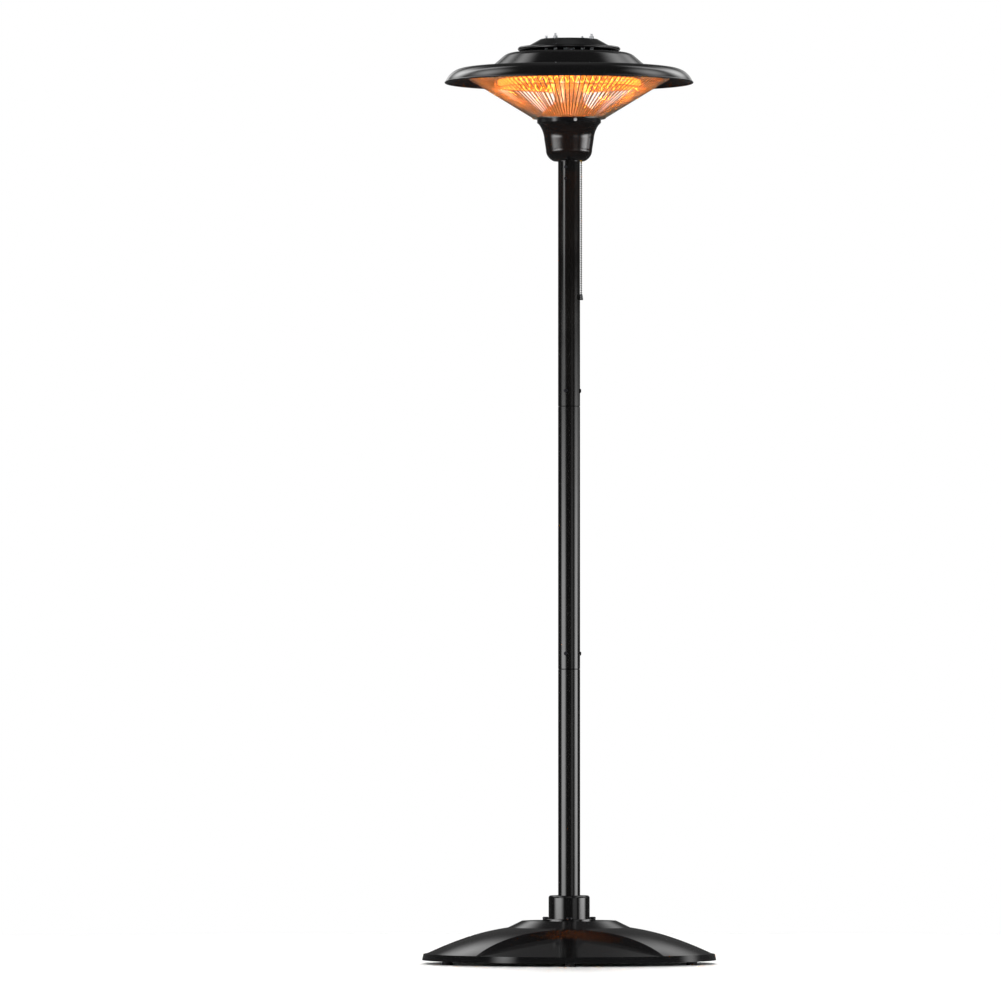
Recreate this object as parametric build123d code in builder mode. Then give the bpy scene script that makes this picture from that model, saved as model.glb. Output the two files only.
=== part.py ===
from build123d import *

import math
import os

# Infrared patio heater on a slim pole, in millimetres. +Z is up, and the origin is on the floor
# under the pole's axis. The front, with the pull chain on its right, faces -Y.

os.makedirs("parts", exist_ok=True)

# ---- Driving dimensions ------------------------------------------------------------------------

# Base: a pressed cover on six rubber feet, with a weight inside
foot_height = 6.0
foot_radius = 9.0
foot_inset = 12.0
foot_count = 6
base_radius = 254.0
cover_wall = 1.5
rim_height = 11.2
rim_draft = 2.4
crease_radius = 105.5
crease_rise = 56.3
shoulder_run = 24.2
plateau_rise = 68.0
slope_bulge = 5.6
recess_count = 3
recess_apex_run = 10.5
recess_reach = 294.0
recess_floor_slope = 0.242
recess_lip = 0.6
bottom_plate_wall = 1.5
weight_bore_gap = 5.0
weight_inset = 8.0
weight_gap = 1.0
foot_screw_shank = 2.0
foot_screw_head = 4.0
foot_screw_head_height = 2.2
foot_screw_length = 8.0
foot_recess = 3.1
gland_radius = 6.0
gland_z = 19.0
gland_length = 26.0
gland_inset = 0.4
cable_radius = 3.5

# Pole: three tubes of one length, stacked on reduced ends
tube_radius = 19.0
tube_wall = 1.5
tube_length = 454.0
tube_chamfer = 0.8
tube_seat_depth = 20.0
tube_fit = 0.1
spigot_length = 60.0
joint_screw_rise = 27.0
joint_screw_head = 3.4
joint_screw_head_height = 2.0
joint_screw_tip = 1.5
joint_screw_shank = 2.0
joint_screw_angle = -107.5
joint_screw_count = 3

# Pole seat: a flange on the cover, a socket under it and a collar round the pole
flange_margin = 5.0
flange_height = 3.2
flange_bolt_gap = 5.2
flange_bolt_count = 4
flange_bolt_shank = 3.0
flange_bolt_head = 5.2
flange_bolt_head_height = 3.4
flange_bolt_tail = 2.0
flange_nut_width = 10.0
flange_nut_height = 5.0
collar_gap = 16.5
collar_height = 40.4
collar_wall = 1.5
collar_corner = 4.3
socket_wall = 3.0
socket_flange_margin = 8.3
socket_flange_height = 4.0

# Bell housing of the pull switch, round the pole's top
bell_overlap = 29.7
bell_floor_width = 7.6
bell_rim_radius = 55.4
bell_rim_height = 7.1
bell_height = 73.5
bell_wall = 1.2
bell_corner_in = 15.3
bell_corner_rise = 20.2
bell_corner_bulge = -3.75
bell_waist_in = 12.4
bell_waist_rise = 39.0
bell_flare_in = 3.8
bell_flare_drop = 3.5
bell_flare_bulge = 1.79
lid_wall = 1.5
stem_wall = 2.0
stem_grip = 81.0
stem_screw_drops = (10.9, 30.8)
stem_screw_radius = 1.5
stem_screw_head = 2.9
stem_screw_head_height = 1.8
screw_tip = 1.0
window_angle = 150.0
window_width = 16.0
window_height = 32.0
rim_screw_count = 3
rim_screw_angle = -79.0

# Pull switch and chain
chain_angle = -24.5
chain_gap = 4.2
lever_arm = 16.0
lever_rest_angle = 17.9
lever_hub = 3.2
lever_wall = 3.0
fork_wall = 1.5
fork_width = 7.0
fork_length = 6.5
fork_tip = 2.75
fork_slot_play = 0.5
switch_drop = 22.0
switch_width = 11.0
switch_sink = 7.0
switch_behind = 11.0
switch_ahead = 5.0
switch_cap = 11.0
switch_closed_end = 3.0
slot_gap = 0.3
pin_radius = 1.5
rod_radius = 1.0
rod_clearance = 0.08
ball_radius = 2.0
ball_rise = 3.4
bush_radius = 2.4
bush_lip = 0.8
bush_flange = 1.2
swing_gap = 3.0
stop_radius = 3.0
stop_height = 2.0
spring_length = 20.5
spring_wire = 0.4
spring_radius = 2.3
spring_turns = 7
bead_radius = 1.6
bead_pitch = 4.0
bead_count = 56
link_radius = 0.5
pendant_height = 11.0
pendant_radius = 3.3

# Terminal block, thermal cut-out and tip-over switch, under the bell's lid
block_depth = 9.0
block_height = 26.0
block_width = 20.0
block_rise = 4.0
riser_level = 0.72
riser_radius = 2.8
supply_level = 0.22
supply_bend = 24.0
block_margin = 5.8
block_hole_radius = 1.6
block_hole_depth = 3.0
bracket_wall = 1.5
bracket_inset = 2.0
bracket_foot_gap = 1.0
cutout_margin = 10.0
cutout_angle = 240.0
cutout_radius = 8.0
cutout_height = 8.0
tilt_angle = 88.0
tilt_size = (20.0, 14.0, 18.0)
tilt_corner = 1.5

# Lamp guard: straight wires from the guard plate up to a ring inside the shade
guard_foot_radius = 62.5
guard_inset = 2.9
guard_foot_rise = 1.9
guard_height = 72.1
guard_wire_radius = 1.0
guard_wire_count = 108
guard_plate_wall = 1.5
guard_face = 3.0
guard_seat_width = 2.5
guard_ring_width = 3.2
guard_ring_lip = 1.3
guard_weld_gap = 0.01
hanger_wall = 1.5
hanger_count = 4
hanger_reach = 16.0
hanger_sweep = 5.0

# Centre of the head
column_radius = 25.0
column_wall = 1.0
column_height = 78.2
shield_radius = 57.0
shield_height = 30.0
shield_wall = 0.8
shield_throat = 3.0
shield_collar = 4.0
shield_neck = 2.0
rod_outer_radius = 6.0
rod_bore_radius = 4.0
rod_nut_width = 18.0
rod_nut_height = 10.0
jam_nut_height = 6.0
rod_tail_low = 2.0
rod_tail_high = 1.0
rod_window = (6.4, 8.0, 5.0)

# Lamp: a ring-shaped quartz tube round a coiled wire
lamp_inset = 58.5
lamp_rise = 60.7
quartz_radius = 7.5
quartz_wall = 1.0
lamp_gap = 24.0
coil_radius = 5.2
coil_wire = 0.7
coil_turns = 56
coil_lead = 3.0
cap_block = 19.0
cap_corner = 3.0
cap_sleeve_angle = 4.0
lead_radius = 1.2
lead_play = 0.4
lead_reach = 5.5
lead_low_bend = 2.6
lead_high_bend = 12.0
clip_wall = 0.8
clip_sweep = 4.0
clip_foot = 12.0
clip_angles = (-15.0, 195.0)
bracket_half_width = 5.0
bracket_extra_sweep = 6.0
bracket_web_sweep = 2.0

# Reflector, shade, dome and top cap
reflector_wall = 1.0
reflector_roll = 26.0
reflector_gap = 7.4
reflector_dip = 4.5
spider_wall = 2.0
spider_arm_width = 18.0
spider_arm_count = 4
shade_wall = 1.2
shade_hole_margin = 10.1
shade_seam = 1.0
shade_shoulder_radius = 183.4
shade_shoulder_drop = 3.4
shade_edge_run = 30.8
shade_drop = 27.0
shade_bead = 1.7
dome_foot_radius = 134.1
dome_slope_run = 27.4
dome_height = 23.8
dome_blend = 26.0
dome_wall = 1.2
cap_top_radius = 50.0
cap_cone_run = 23.5
cap_cone_height = 13.3
cap_ledge_run = 12.0
cap_bead = 3.2
cap_wall = 1.0
cap_vent = 3.9
stud_inset = 4.4
stud_count = 4
stud_angle = -31.3
stud_radius = 2.0
stud_tail = 4.3
stud_head_ratio = 1.8
stud_head_height = 2.6
spacer_radius = 3.2
washer_radius = 4.2
washer_height = 0.8
cap_nut_width = 7.0
cap_nut_height = 3.2

# Play round screws, bolts and the rod
screw_play = 0.05
rod_play = 0.1
bolt_play = 0.2

# ---- Radii that follow from the driving ones ---------------------------------------------------

rim_top_radius = base_radius - rim_draft
foot_circle = base_radius - foot_inset
weight_radius = base_radius - weight_inset
recess_centre = base_radius + recess_reach
plateau_radius = crease_radius - shoulder_run
recess_apex_radius = crease_radius + recess_apex_run
tube_bore = tube_radius - tube_wall
pole_hole_radius = tube_radius + bolt_play
collar_radius = tube_radius + collar_gap
flange_bolt_circle = collar_radius + flange_bolt_gap
flange_radius = flange_bolt_circle + flange_margin
socket_bore = tube_radius + tube_fit
socket_flange_radius = flange_bolt_circle + socket_flange_margin
weight_bore = socket_flange_radius + weight_bore_gap
stem_radius = tube_bore - tube_fit
stem_bore = stem_radius - stem_wall
bell_floor_radius = tube_radius + bell_floor_width
bell_waist_radius = bell_rim_radius - bell_waist_in
chain_circle = tube_radius + chain_gap
block_reach = bell_waist_radius - bell_wall - block_margin
cutout_circle = bell_waist_radius - cutout_margin
shade_radius = shade_shoulder_radius + shade_edge_run
reflector_radius = shade_shoulder_radius - reflector_gap
reflector_flat = reflector_radius - reflector_roll
guard_top_radius = shade_shoulder_radius - guard_inset
lamp_circle = guard_top_radius - lamp_inset
shade_hole = dome_foot_radius - shade_hole_margin
shade_slope_radius = dome_foot_radius + shade_seam
dome_corner_radius = dome_foot_radius - dome_slope_run
cap_cone_radius = cap_top_radius + cap_cone_run
cap_ledge_radius = cap_cone_radius + cap_ledge_run
stud_circle = cap_top_radius - stud_inset
rod_hole_radius = rod_outer_radius + rod_play

# ---- Levels, from the floor up -----------------------------------------------------------------

cover_bottom = foot_height
rim_top_z = cover_bottom + rim_height
crease_z = cover_bottom + crease_rise
plateau_z = cover_bottom + plateau_rise
floor_plate_top = cover_bottom + bottom_plate_wall

lower_tube_z = plateau_z - tube_seat_depth
middle_tube_z = lower_tube_z + tube_length
upper_tube_z = middle_tube_z + tube_length
pole_top_z = upper_tube_z + tube_length

bell_z = pole_top_z - bell_overlap
bell_top_z = bell_z + bell_height
bell_shoulder_z = bell_top_z - bell_rim_height
lid_under_z = bell_top_z - lid_wall
guard_plate_top = bell_top_z + guard_plate_wall
lamp_z = bell_top_z + lamp_rise
reflector_z = guard_plate_top + column_height
spider_z = reflector_z + reflector_wall + jam_nut_height
shade_flange_z = spider_z + spider_wall
shade_top_z = shade_flange_z + shade_wall
dome_top_z = shade_top_z + dome_height
cap_top_z = dome_top_z + cap_vent + 2 * cap_bead + cap_cone_height


# ---- Helpers -----------------------------------------------------------------------------------


def meridian(angle):
    """Upright plane through the pole's axis: local X runs outward at this angle, local Y runs up."""
    a = math.radians(angle)
    return Plane(origin=(0, 0, 0), x_dir=(math.cos(a), math.sin(a), 0), z_dir=(math.sin(a), -math.cos(a), 0))


def radial_plane(radius, angle, z):
    """Plane whose normal points outward from the pole's axis."""
    a = math.radians(angle)
    outward = (math.cos(a), math.sin(a), 0)
    return Plane(origin=(radius * outward[0], radius * outward[1], z), x_dir=(0, 0, 1), z_dir=outward)


def ring_of(radius, z, count, start):
    """Upright planes spread evenly on a circle."""
    angles = [math.radians(start + 360 / count * i) for i in range(count)]
    return [Plane(origin=(radius * math.cos(a), radius * math.sin(a), z)) for a in angles]


def turned(points, angle=0.0, arc=360.0):
    """Solid turned about the pole's axis from an outline of (radius, height) points."""
    with BuildPart() as piece:
        with BuildSketch(meridian(angle)):
            with BuildLine():
                Polyline(*points, close=True)
            make_face()
        revolve(axis=Axis.Z, revolution_arc=arc)
    return piece.part


def pan_screw(head_radius, head_height, shank_radius, length):
    """Screw with a rounded head: the head stands on the local origin and the shank runs down."""
    with BuildPart() as screw:
        Cylinder(head_radius, head_height, align=(Align.CENTER, Align.CENTER, Align.MIN))
        fillet(screw.faces().sort_by(Axis.Z)[-1].edges(), 0.45 * min(head_height, head_radius))
        with Locations((0, 0, head_height)):
            Box(1.2 * head_radius, 0.2 * head_radius, 0.6 * head_height, mode=Mode.SUBTRACT)
            Box(0.2 * head_radius, 1.2 * head_radius, 0.6 * head_height, mode=Mode.SUBTRACT)
        Cylinder(shank_radius, length, align=(Align.CENTER, Align.CENTER, Align.MAX))
    return screw.part


nut_corner_ratio = 1.09


def hex_nut(width, height, bore):
    """Hexagon nut standing on the local origin, across-flats width given, edges turned off."""
    with BuildPart() as nut:
        with BuildSketch():
            RegularPolygon(width / 2, 6, major_radius=False)
        extrude(amount=height)
        with BuildSketch():
            Circle(nut_corner_ratio * width / 2)
        extrude(amount=height, mode=Mode.INTERSECT)
        Cylinder(bore, 3 * height, mode=Mode.SUBTRACT)
    return nut.part


def placed(piece, planes):
    """Copies of one piece, one on each plane."""
    with BuildPart() as group:
        with Locations(*planes):
            add(piece)
    return group.part


def bored(piece, planes, radius, depth):
    """The piece with a round hole through it at each plane."""
    with BuildPart() as drilled:
        add(piece)
        with Locations(*planes):
            Cylinder(radius, depth, mode=Mode.SUBTRACT)
    return drilled.part


def bowed(start, end, bulge):
    """Middle of an arc over the chord from start to end, set off to its left by the bulge."""
    chord = Vector(end[0] - start[0], end[1] - start[1])
    middle = Vector(start[0], start[1]) + chord * 0.5 + Vector(-chord.Y, chord.X).normalized() * bulge
    return middle.X, middle.Y


def tube_through(points, radius, bends):
    """Round cable along straight runs joined by tangent arcs."""
    with BuildPart() as cable:
        with BuildLine() as route:
            FilletPolyline(*points, radius=bends)
        with BuildSketch(Plane(origin=route.line @ 0, z_dir=route.line % 0)):
            Circle(radius)
        sweep()
    return cable.part


def biarc(start, start_way, end, end_way):
    """Two tangent arcs that leave start and reach end in the given directions."""
    chord = end - start
    both = start_way + end_way
    a = both.dot(both) - 4
    b = -2 * chord.dot(both)
    c = chord.dot(chord)
    reach = -c / b if abs(a) < 1e-9 else (-b - math.sqrt(b * b - 4 * a * c)) / (2 * a)
    joint = (start + start_way * reach + end - end_way * reach) / 2
    TangentArc(start, joint, tangent=start_way)
    TangentArc(joint, end, tangent=(end - end_way * reach - joint).normalized())


def wound(stations, wire_radius):
    """Unbroken wire through stations, each a point and the wire's direction there."""
    with BuildPart() as wire:
        with BuildLine():
            for (start, start_way), (end, end_way) in zip(stations, stations[1:]):
                biarc(start, start_way, end, end_way)
        with BuildSketch(Plane(origin=stations[0][0], z_dir=stations[0][1])):
            Circle(wire_radius)
        sweep()
    return wire.part


def least_gap(stations, steps_per_turn, wire_radius):
    """Least free distance between turns of a wound wire, on its stations."""
    points = [point for point, _ in stations]
    apart = [
        (points[i] - points[j]).length
        for i in range(len(points))
        for j in range(i + steps_per_turn - 1, min(len(points), i + 2 * steps_per_turn))
    ]
    return min(apart) - 2 * wire_radius


# ---- Base --------------------------------------------------------------------------------------


def slope_height(radius):
    """Height of the cover's slope between the crease and the rim."""
    t = (radius - crease_radius) / (rim_top_radius - crease_radius)
    return crease_z + (rim_top_z - crease_z) * t + 4 * slope_bulge * t * (1 - t)


recess_apex_z = slope_height(recess_apex_radius)
recess_wall_radius = recess_centre - recess_apex_radius


def recess_tool(inset):
    """Space that one arched recess takes out: above its sloping floor and inside its 45 degree wall."""
    low = cover_bottom - cover_wall
    high = plateau_z
    with BuildPart() as tool:
        with Locations((0, -recess_centre, (low + high) / 2)):
            Cone(
                recess_wall_radius + inset + low - recess_apex_z,
                recess_wall_radius + inset + high - recess_apex_z,
                high - low,
            )
        with BuildSketch(Plane.XZ):
            with BuildLine():
                floor_out = rim_top_z - recess_lip - inset
                floor_in = floor_out + recess_floor_slope * rim_top_radius
                reach = 2 * base_radius
                floor_far = floor_in - recess_floor_slope * reach
                Polyline((0, floor_in), (reach, floor_far), (reach, 2 * plateau_z), (0, 2 * plateau_z), close=True)
            make_face()
        revolve(axis=Axis.Z, mode=Mode.INTERSECT)
    return tool.part


def base_form(inset):
    """The base's outer form, or with an inset the space under its sheet."""
    crown_radius, crown_z = bowed((crease_radius, crease_z), (rim_top_radius, rim_top_z), slope_bulge)
    with BuildPart() as form:
        with BuildSketch(Plane.XZ):
            with BuildLine():
                Polyline(
                    (crease_radius - inset, crease_z - inset),
                    (plateau_radius - inset, plateau_z - inset),
                    (0, plateau_z - inset),
                    (0, cover_bottom - inset),
                    (base_radius - inset, cover_bottom - inset),
                    (rim_top_radius - inset, rim_top_z - inset),
                )
                ThreePointArc(
                    (rim_top_radius - inset, rim_top_z - inset),
                    (crown_radius - inset, crown_z - inset),
                    (crease_radius - inset, crease_z - inset),
                )
            make_face()
        revolve(axis=Axis.Z)
        with PolarLocations(0, recess_count):
            add(recess_tool(inset), mode=Mode.SUBTRACT)
    return form.part


gland_outer_y = base_radius - gland_inset
gland_inner_y = gland_outer_y - gland_length
bolt_planes = ring_of(flange_bolt_circle, plateau_z + flange_height, flange_bolt_count, 0)

with BuildPart() as base_cover:
    add(base_form(0))
    add(base_form(cover_wall), mode=Mode.SUBTRACT)
    Cylinder(pole_hole_radius, 4 * plateau_z, mode=Mode.SUBTRACT)
    with Locations(*bolt_planes):
        Cylinder(flange_bolt_shank + bolt_play, 4 * flange_height, mode=Mode.SUBTRACT)
    with BuildSketch(Plane.XZ.offset(-gland_inner_y)):
        with Locations((0, gland_z)):
            Circle(gland_radius)
    extrude(amount=gland_inner_y - 2 * base_radius, mode=Mode.SUBTRACT)
base_cover.part.label = "base_cover"
export_step(base_cover.part, "parts/base_cover.step")

foot_planes = ring_of(foot_circle, 0, foot_count, -90)

with BuildPart() as base_feet:
    with BuildPart(mode=Mode.PRIVATE) as foot:
        Cylinder(foot_radius, foot_height, align=(Align.CENTER, Align.CENTER, Align.MIN))
        chamfer(foot.edges().group_by(Axis.Z)[0], 0.12 * foot_height)
        Cylinder(foot_screw_shank + rod_play, 3 * foot_height, mode=Mode.SUBTRACT)
        Cylinder(foot_screw_head + 2 * bolt_play, 2 * foot_recess, mode=Mode.SUBTRACT)
    with Locations(*foot_planes):
        add(foot.part)
base_feet.part.label = "base_feet"
export_step(base_feet.part, "parts/base_feet.step")

foot_screw_planes = [plane.offset(foot_recess) for plane in foot_planes]
upturned = [Plane(origin=plane.origin, x_dir=(1, 0, 0), z_dir=(0, 0, -1)) for plane in foot_screw_planes]
foot_screw = pan_screw(foot_screw_head, foot_screw_head_height, foot_screw_shank, foot_screw_length)

with BuildPart() as feet_screws:
    add(placed(foot_screw, upturned))
feet_screws.part.label = "feet_screws"
export_step(feet_screws.part, "parts/feet_screws.step")

rim_lean = rim_draft / rim_height
bottom_plate_radius = base_radius - cover_wall - rim_lean * (cover_wall + bottom_plate_wall)

with BuildPart() as base_bottom_plate:
    with BuildSketch(Plane.XY.offset(cover_bottom)):
        Circle(bottom_plate_radius)
    extrude(amount=bottom_plate_wall)
    with Locations(*foot_planes):
        Cylinder(foot_screw_shank + screw_play, 4 * floor_plate_top, mode=Mode.SUBTRACT)
base_bottom_plate.part.label = "base_bottom_plate"
export_step(base_bottom_plate.part, "parts/base_bottom_plate.step")


def weight_top(radius):
    """Top of the weight, parallel to the recess floors and clear under them."""
    floor = rim_top_z - recess_lip + recess_floor_slope * (rim_top_radius - radius)
    return floor - cover_wall - weight_gap


with BuildPart() as base_weight:
    add(
        turned(
            [
                (weight_bore, floor_plate_top),
                (weight_radius, floor_plate_top),
                (weight_radius, weight_top(weight_radius)),
                (weight_bore, weight_top(weight_bore)),
            ]
        )
    )
    with Locations((0, base_radius / 2, gland_z)):
        Box(3 * cable_radius + gland_radius, base_radius, 4 * plateau_z, mode=Mode.SUBTRACT)
    with Locations(*foot_planes):
        Cylinder(foot_screw_shank + screw_play, 2 * (foot_recess + foot_screw_length + screw_tip), mode=Mode.SUBTRACT)
base_weight.part.label = "base_weight"
export_step(base_weight.part, "parts/base_weight.step")

with BuildPart() as cord_gland:
    with BuildSketch(Plane.XZ.offset(-gland_inner_y)):
        with Locations((0, gland_z)):
            Circle(gland_radius)
            Circle(cable_radius, mode=Mode.SUBTRACT)
    extrude(amount=gland_inner_y - gland_outer_y)
cord_gland.part.label = "cord_gland"
export_step(cord_gland.part, "parts/cord_gland.step")

# ---- Pole seat ---------------------------------------------------------------------------------

with BuildPart() as base_flange:
    with BuildSketch(Plane.XY.offset(plateau_z)):
        Circle(flange_radius)
        Circle(pole_hole_radius, mode=Mode.SUBTRACT)
    extrude(amount=flange_height)
    chamfer(base_flange.edges().group_by(Axis.Z)[-1].sort_by(SortBy.RADIUS)[-1], 0.2 * flange_height)
    with Locations(*bolt_planes):
        Cylinder(flange_bolt_shank + bolt_play, 4 * flange_height, mode=Mode.SUBTRACT)
base_flange.part.label = "base_flange"
export_step(base_flange.part, "parts/base_flange.step")

collar_z = plateau_z + flange_height

with BuildPart() as pole_collar:
    with BuildSketch(Plane.XY.offset(collar_z)):
        Circle(collar_radius)
    extrude(amount=collar_height)
    fillet(pole_collar.edges().group_by(Axis.Z)[-1], collar_corner)
    offset(amount=-collar_wall, openings=pole_collar.faces().sort_by(Axis.Z)[0])
    with Locations((0, 0, collar_z + collar_height)):
        Cylinder(pole_hole_radius, 8 * collar_wall, mode=Mode.SUBTRACT)
pole_collar.part.label = "pole_collar"
export_step(pole_collar.part, "parts/pole_collar.step")

socket_top = plateau_z - cover_wall
cable_hole_radius = cable_radius + socket_wall

with BuildPart() as pole_socket:
    add(
        turned(
            [
                (cable_hole_radius, lower_tube_z - socket_wall),
                (socket_bore + socket_wall, lower_tube_z - socket_wall),
                (socket_bore + socket_wall, socket_top - socket_flange_height),
                (socket_flange_radius, socket_top - socket_flange_height),
                (socket_flange_radius, socket_top),
                (socket_bore, socket_top),
                (socket_bore, lower_tube_z),
                (cable_hole_radius, lower_tube_z),
            ]
        )
    )
    with Locations(*bolt_planes):
        Cylinder(flange_bolt_shank + bolt_play, 8 * flange_height, mode=Mode.SUBTRACT)
pole_socket.part.label = "pole_socket"
export_step(pole_socket.part, "parts/pole_socket.step")

bolt_grip = flange_height + cover_wall + socket_flange_height
bolt_length = bolt_grip + flange_nut_height + flange_bolt_tail
flange_bolt = pan_screw(flange_bolt_head, flange_bolt_head_height, flange_bolt_shank, bolt_length)

with BuildPart() as flange_bolts:
    add(placed(flange_bolt, bolt_planes))
flange_bolts.part.label = "flange_bolts"
export_step(flange_bolts.part, "parts/flange_bolts.step")

flange_nut_planes = [plane.offset(-bolt_grip - flange_nut_height) for plane in bolt_planes]

with BuildPart() as flange_nuts:
    add(placed(hex_nut(flange_nut_width, flange_nut_height, flange_bolt_shank + screw_play), flange_nut_planes))
flange_nuts.part.label = "flange_nuts"
export_step(flange_nuts.part, "parts/flange_nuts.step")

# ---- Pole --------------------------------------------------------------------------------------


def joint_places(seam_z):
    """Where the screws of one pole joint sit, pointing outward on the tube's skin."""
    step = 360 / joint_screw_count
    angles = [joint_screw_angle + step * i for i in range(joint_screw_count)]
    return [radial_plane(tube_radius, angle, seam_z + joint_screw_rise) for angle in angles]


def pole_tube(bottom, spigot, holes):
    """Pole tube with bevelled ends, with or without a reduced end that enters the next tube."""
    top = bottom + tube_length
    spigot_radius = tube_bore - tube_fit
    spigot_bore = spigot_radius - tube_wall
    outline = [
        (tube_bore, bottom),
        (tube_radius - tube_chamfer, bottom),
        (tube_radius, bottom + tube_chamfer),
        (tube_radius, top - tube_chamfer),
        (tube_radius - tube_chamfer, top),
    ]
    if spigot:
        outline += [
            (spigot_radius, top),
            (spigot_radius, top + spigot_length),
            (spigot_bore, top + spigot_length),
            (spigot_bore, top - 2 * tube_wall),
            (tube_bore, top - 4 * tube_wall),
        ]
    else:
        outline += [(tube_bore, top)]
    return bored(turned(outline), holes, joint_screw_shank + screw_play, 4 * tube_radius - 3 * tube_bore)


lower_joint = joint_places(middle_tube_z)
upper_joint = joint_places(upper_tube_z)
stem_places = [
    radial_plane(tube_radius, joint_screw_angle + half_turn, bell_z - drop)
    for half_turn in (0, 180)
    for drop in stem_screw_drops
]

with BuildPart() as lower_tube:
    add(pole_tube(lower_tube_z, True, lower_joint))
lower_tube.part.label = "lower_tube"
export_step(lower_tube.part, "parts/lower_tube.step")

with BuildPart() as middle_tube:
    add(pole_tube(middle_tube_z, True, lower_joint + upper_joint))
middle_tube.part.label = "middle_tube"
export_step(middle_tube.part, "parts/middle_tube.step")

with BuildPart() as upper_tube:
    add(pole_tube(upper_tube_z, False, upper_joint))
    with Locations(*stem_places):
        Cylinder(stem_screw_radius + screw_play, 4 * tube_radius - 3 * tube_bore, mode=Mode.SUBTRACT)
upper_tube.part.label = "upper_tube"
export_step(upper_tube.part, "parts/upper_tube.step")

joint_screw_depth = 2 * tube_wall + tube_fit + joint_screw_tip
joint_screw = pan_screw(joint_screw_head, joint_screw_head_height, joint_screw_shank, joint_screw_depth)

with BuildPart() as lower_joint_screws:
    add(placed(joint_screw, lower_joint))
lower_joint_screws.part.label = "lower_joint_screws"
export_step(lower_joint_screws.part, "parts/lower_joint_screws.step")

with BuildPart() as upper_joint_screws:
    add(placed(joint_screw, upper_joint))
upper_joint_screws.part.label = "upper_joint_screws"
export_step(upper_joint_screws.part, "parts/upper_joint_screws.step")

# ---- Bell housing and what carries the head ----------------------------------------------------

with BuildPart() as head_stem:
    add(
        turned(
            [
                (stem_bore, pole_top_z - stem_grip),
                (stem_radius, pole_top_z - stem_grip),
                (stem_radius, lid_under_z),
                (stem_bore, lid_under_z),
            ]
        )
    )
    with Locations(*stem_places):
        Cylinder(stem_screw_radius + screw_play, 8 * stem_wall, mode=Mode.SUBTRACT)
    with Locations(radial_plane(stem_radius, window_angle, pole_top_z + window_height / 2)):
        Box(window_height, window_width, stem_radius, mode=Mode.SUBTRACT)
head_stem.part.label = "head_stem"
export_step(head_stem.part, "parts/head_stem.step")

stem_screw_length = tube_wall + tube_fit + stem_wall + screw_tip
stem_screw = pan_screw(stem_screw_head, stem_screw_head_height, stem_screw_radius, stem_screw_length)

with BuildPart() as head_screws:
    add(placed(stem_screw, stem_places))
head_screws.part.label = "head_screws"
export_step(head_screws.part, "parts/head_screws.step")

bell_foot = (bell_floor_radius, bell_z)
bell_corner = (bell_rim_radius - bell_corner_in, bell_z + bell_corner_rise)
bell_waist = (bell_waist_radius, bell_z + bell_waist_rise)
bell_flare = (bell_rim_radius - bell_flare_in, bell_shoulder_z - bell_flare_drop)
rim_screw_z = bell_top_z - 0.6 * bell_rim_height
rim_screw_planes = [
    radial_plane(bell_rim_radius, rim_screw_angle + 360 / rim_screw_count * i, rim_screw_z)
    for i in range(rim_screw_count)
]
chain_plane = radial_plane(chain_circle, chain_angle, 0)
chain_x = chain_plane.origin.X
chain_y = chain_plane.origin.Y

with BuildPart() as switch_housing:
    with BuildSketch(Plane.XZ):
        with BuildLine():
            Line((pole_hole_radius, bell_z), bell_foot)
            ThreePointArc(bell_foot, bowed(bell_foot, bell_corner, bell_corner_bulge), bell_corner)
            Line(bell_corner, bell_waist)
            ThreePointArc(bell_waist, bowed(bell_waist, bell_flare, bell_flare_bulge), bell_flare)
            Polyline(bell_flare, (bell_rim_radius, bell_shoulder_z), (bell_rim_radius, bell_top_z))
            offset(amount=bell_wall, side=Side.LEFT)
        make_face()
    revolve(axis=Axis.Z)
    with Locations((chain_x, chain_y, bell_z)):
        Cylinder(bush_radius, 6 * bell_wall, mode=Mode.SUBTRACT)
    with Locations(*rim_screw_planes):
        Cylinder(stem_screw_radius + screw_play, 6 * bell_wall, mode=Mode.SUBTRACT)
switch_housing.part.label = "switch_housing"
export_step(switch_housing.part, "parts/switch_housing.step")

lid_radius = bell_rim_radius - bell_wall

with BuildPart() as housing_lid:
    add(
        turned(
            [
                (rod_hole_radius, lid_under_z),
                (lid_radius - lid_wall, lid_under_z),
                (lid_radius - lid_wall, bell_shoulder_z + bell_wall),
                (lid_radius, bell_shoulder_z + bell_wall),
                (lid_radius, bell_top_z),
                (rod_hole_radius, bell_top_z),
            ]
        )
    )
    with Locations(*rim_screw_planes):
        Cylinder(stem_screw_radius + screw_play, 8 * bell_wall, mode=Mode.SUBTRACT)
housing_lid.part.label = "housing_lid"
export_step(housing_lid.part, "parts/housing_lid.step")

rim_screw_length = bell_wall + lid_wall + screw_tip
rim_screw = pan_screw(stem_screw_head, stem_screw_head_height, stem_screw_radius, rim_screw_length)

with BuildPart() as housing_screws:
    add(placed(rim_screw, rim_screw_planes))
housing_screws.part.label = "housing_screws"
export_step(housing_screws.part, "parts/housing_screws.step")

# ---- Pull switch -------------------------------------------------------------------------------

# Local frame of the switch: X outward at the chain, Y along the lever away from the chain, Z up
rest = math.radians(lever_rest_angle)
switch_frame = Plane(
    origin=(chain_x, chain_y, lid_under_z - switch_drop),
    x_dir=chain_plane.z_dir,
    z_dir=(0, 0, 1),
)
pivot_y = lever_arm * math.cos(rest)
fork_z = lever_arm * math.sin(rest)
switch_back = pivot_y + switch_behind
switch_front = pivot_y - switch_ahead

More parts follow.
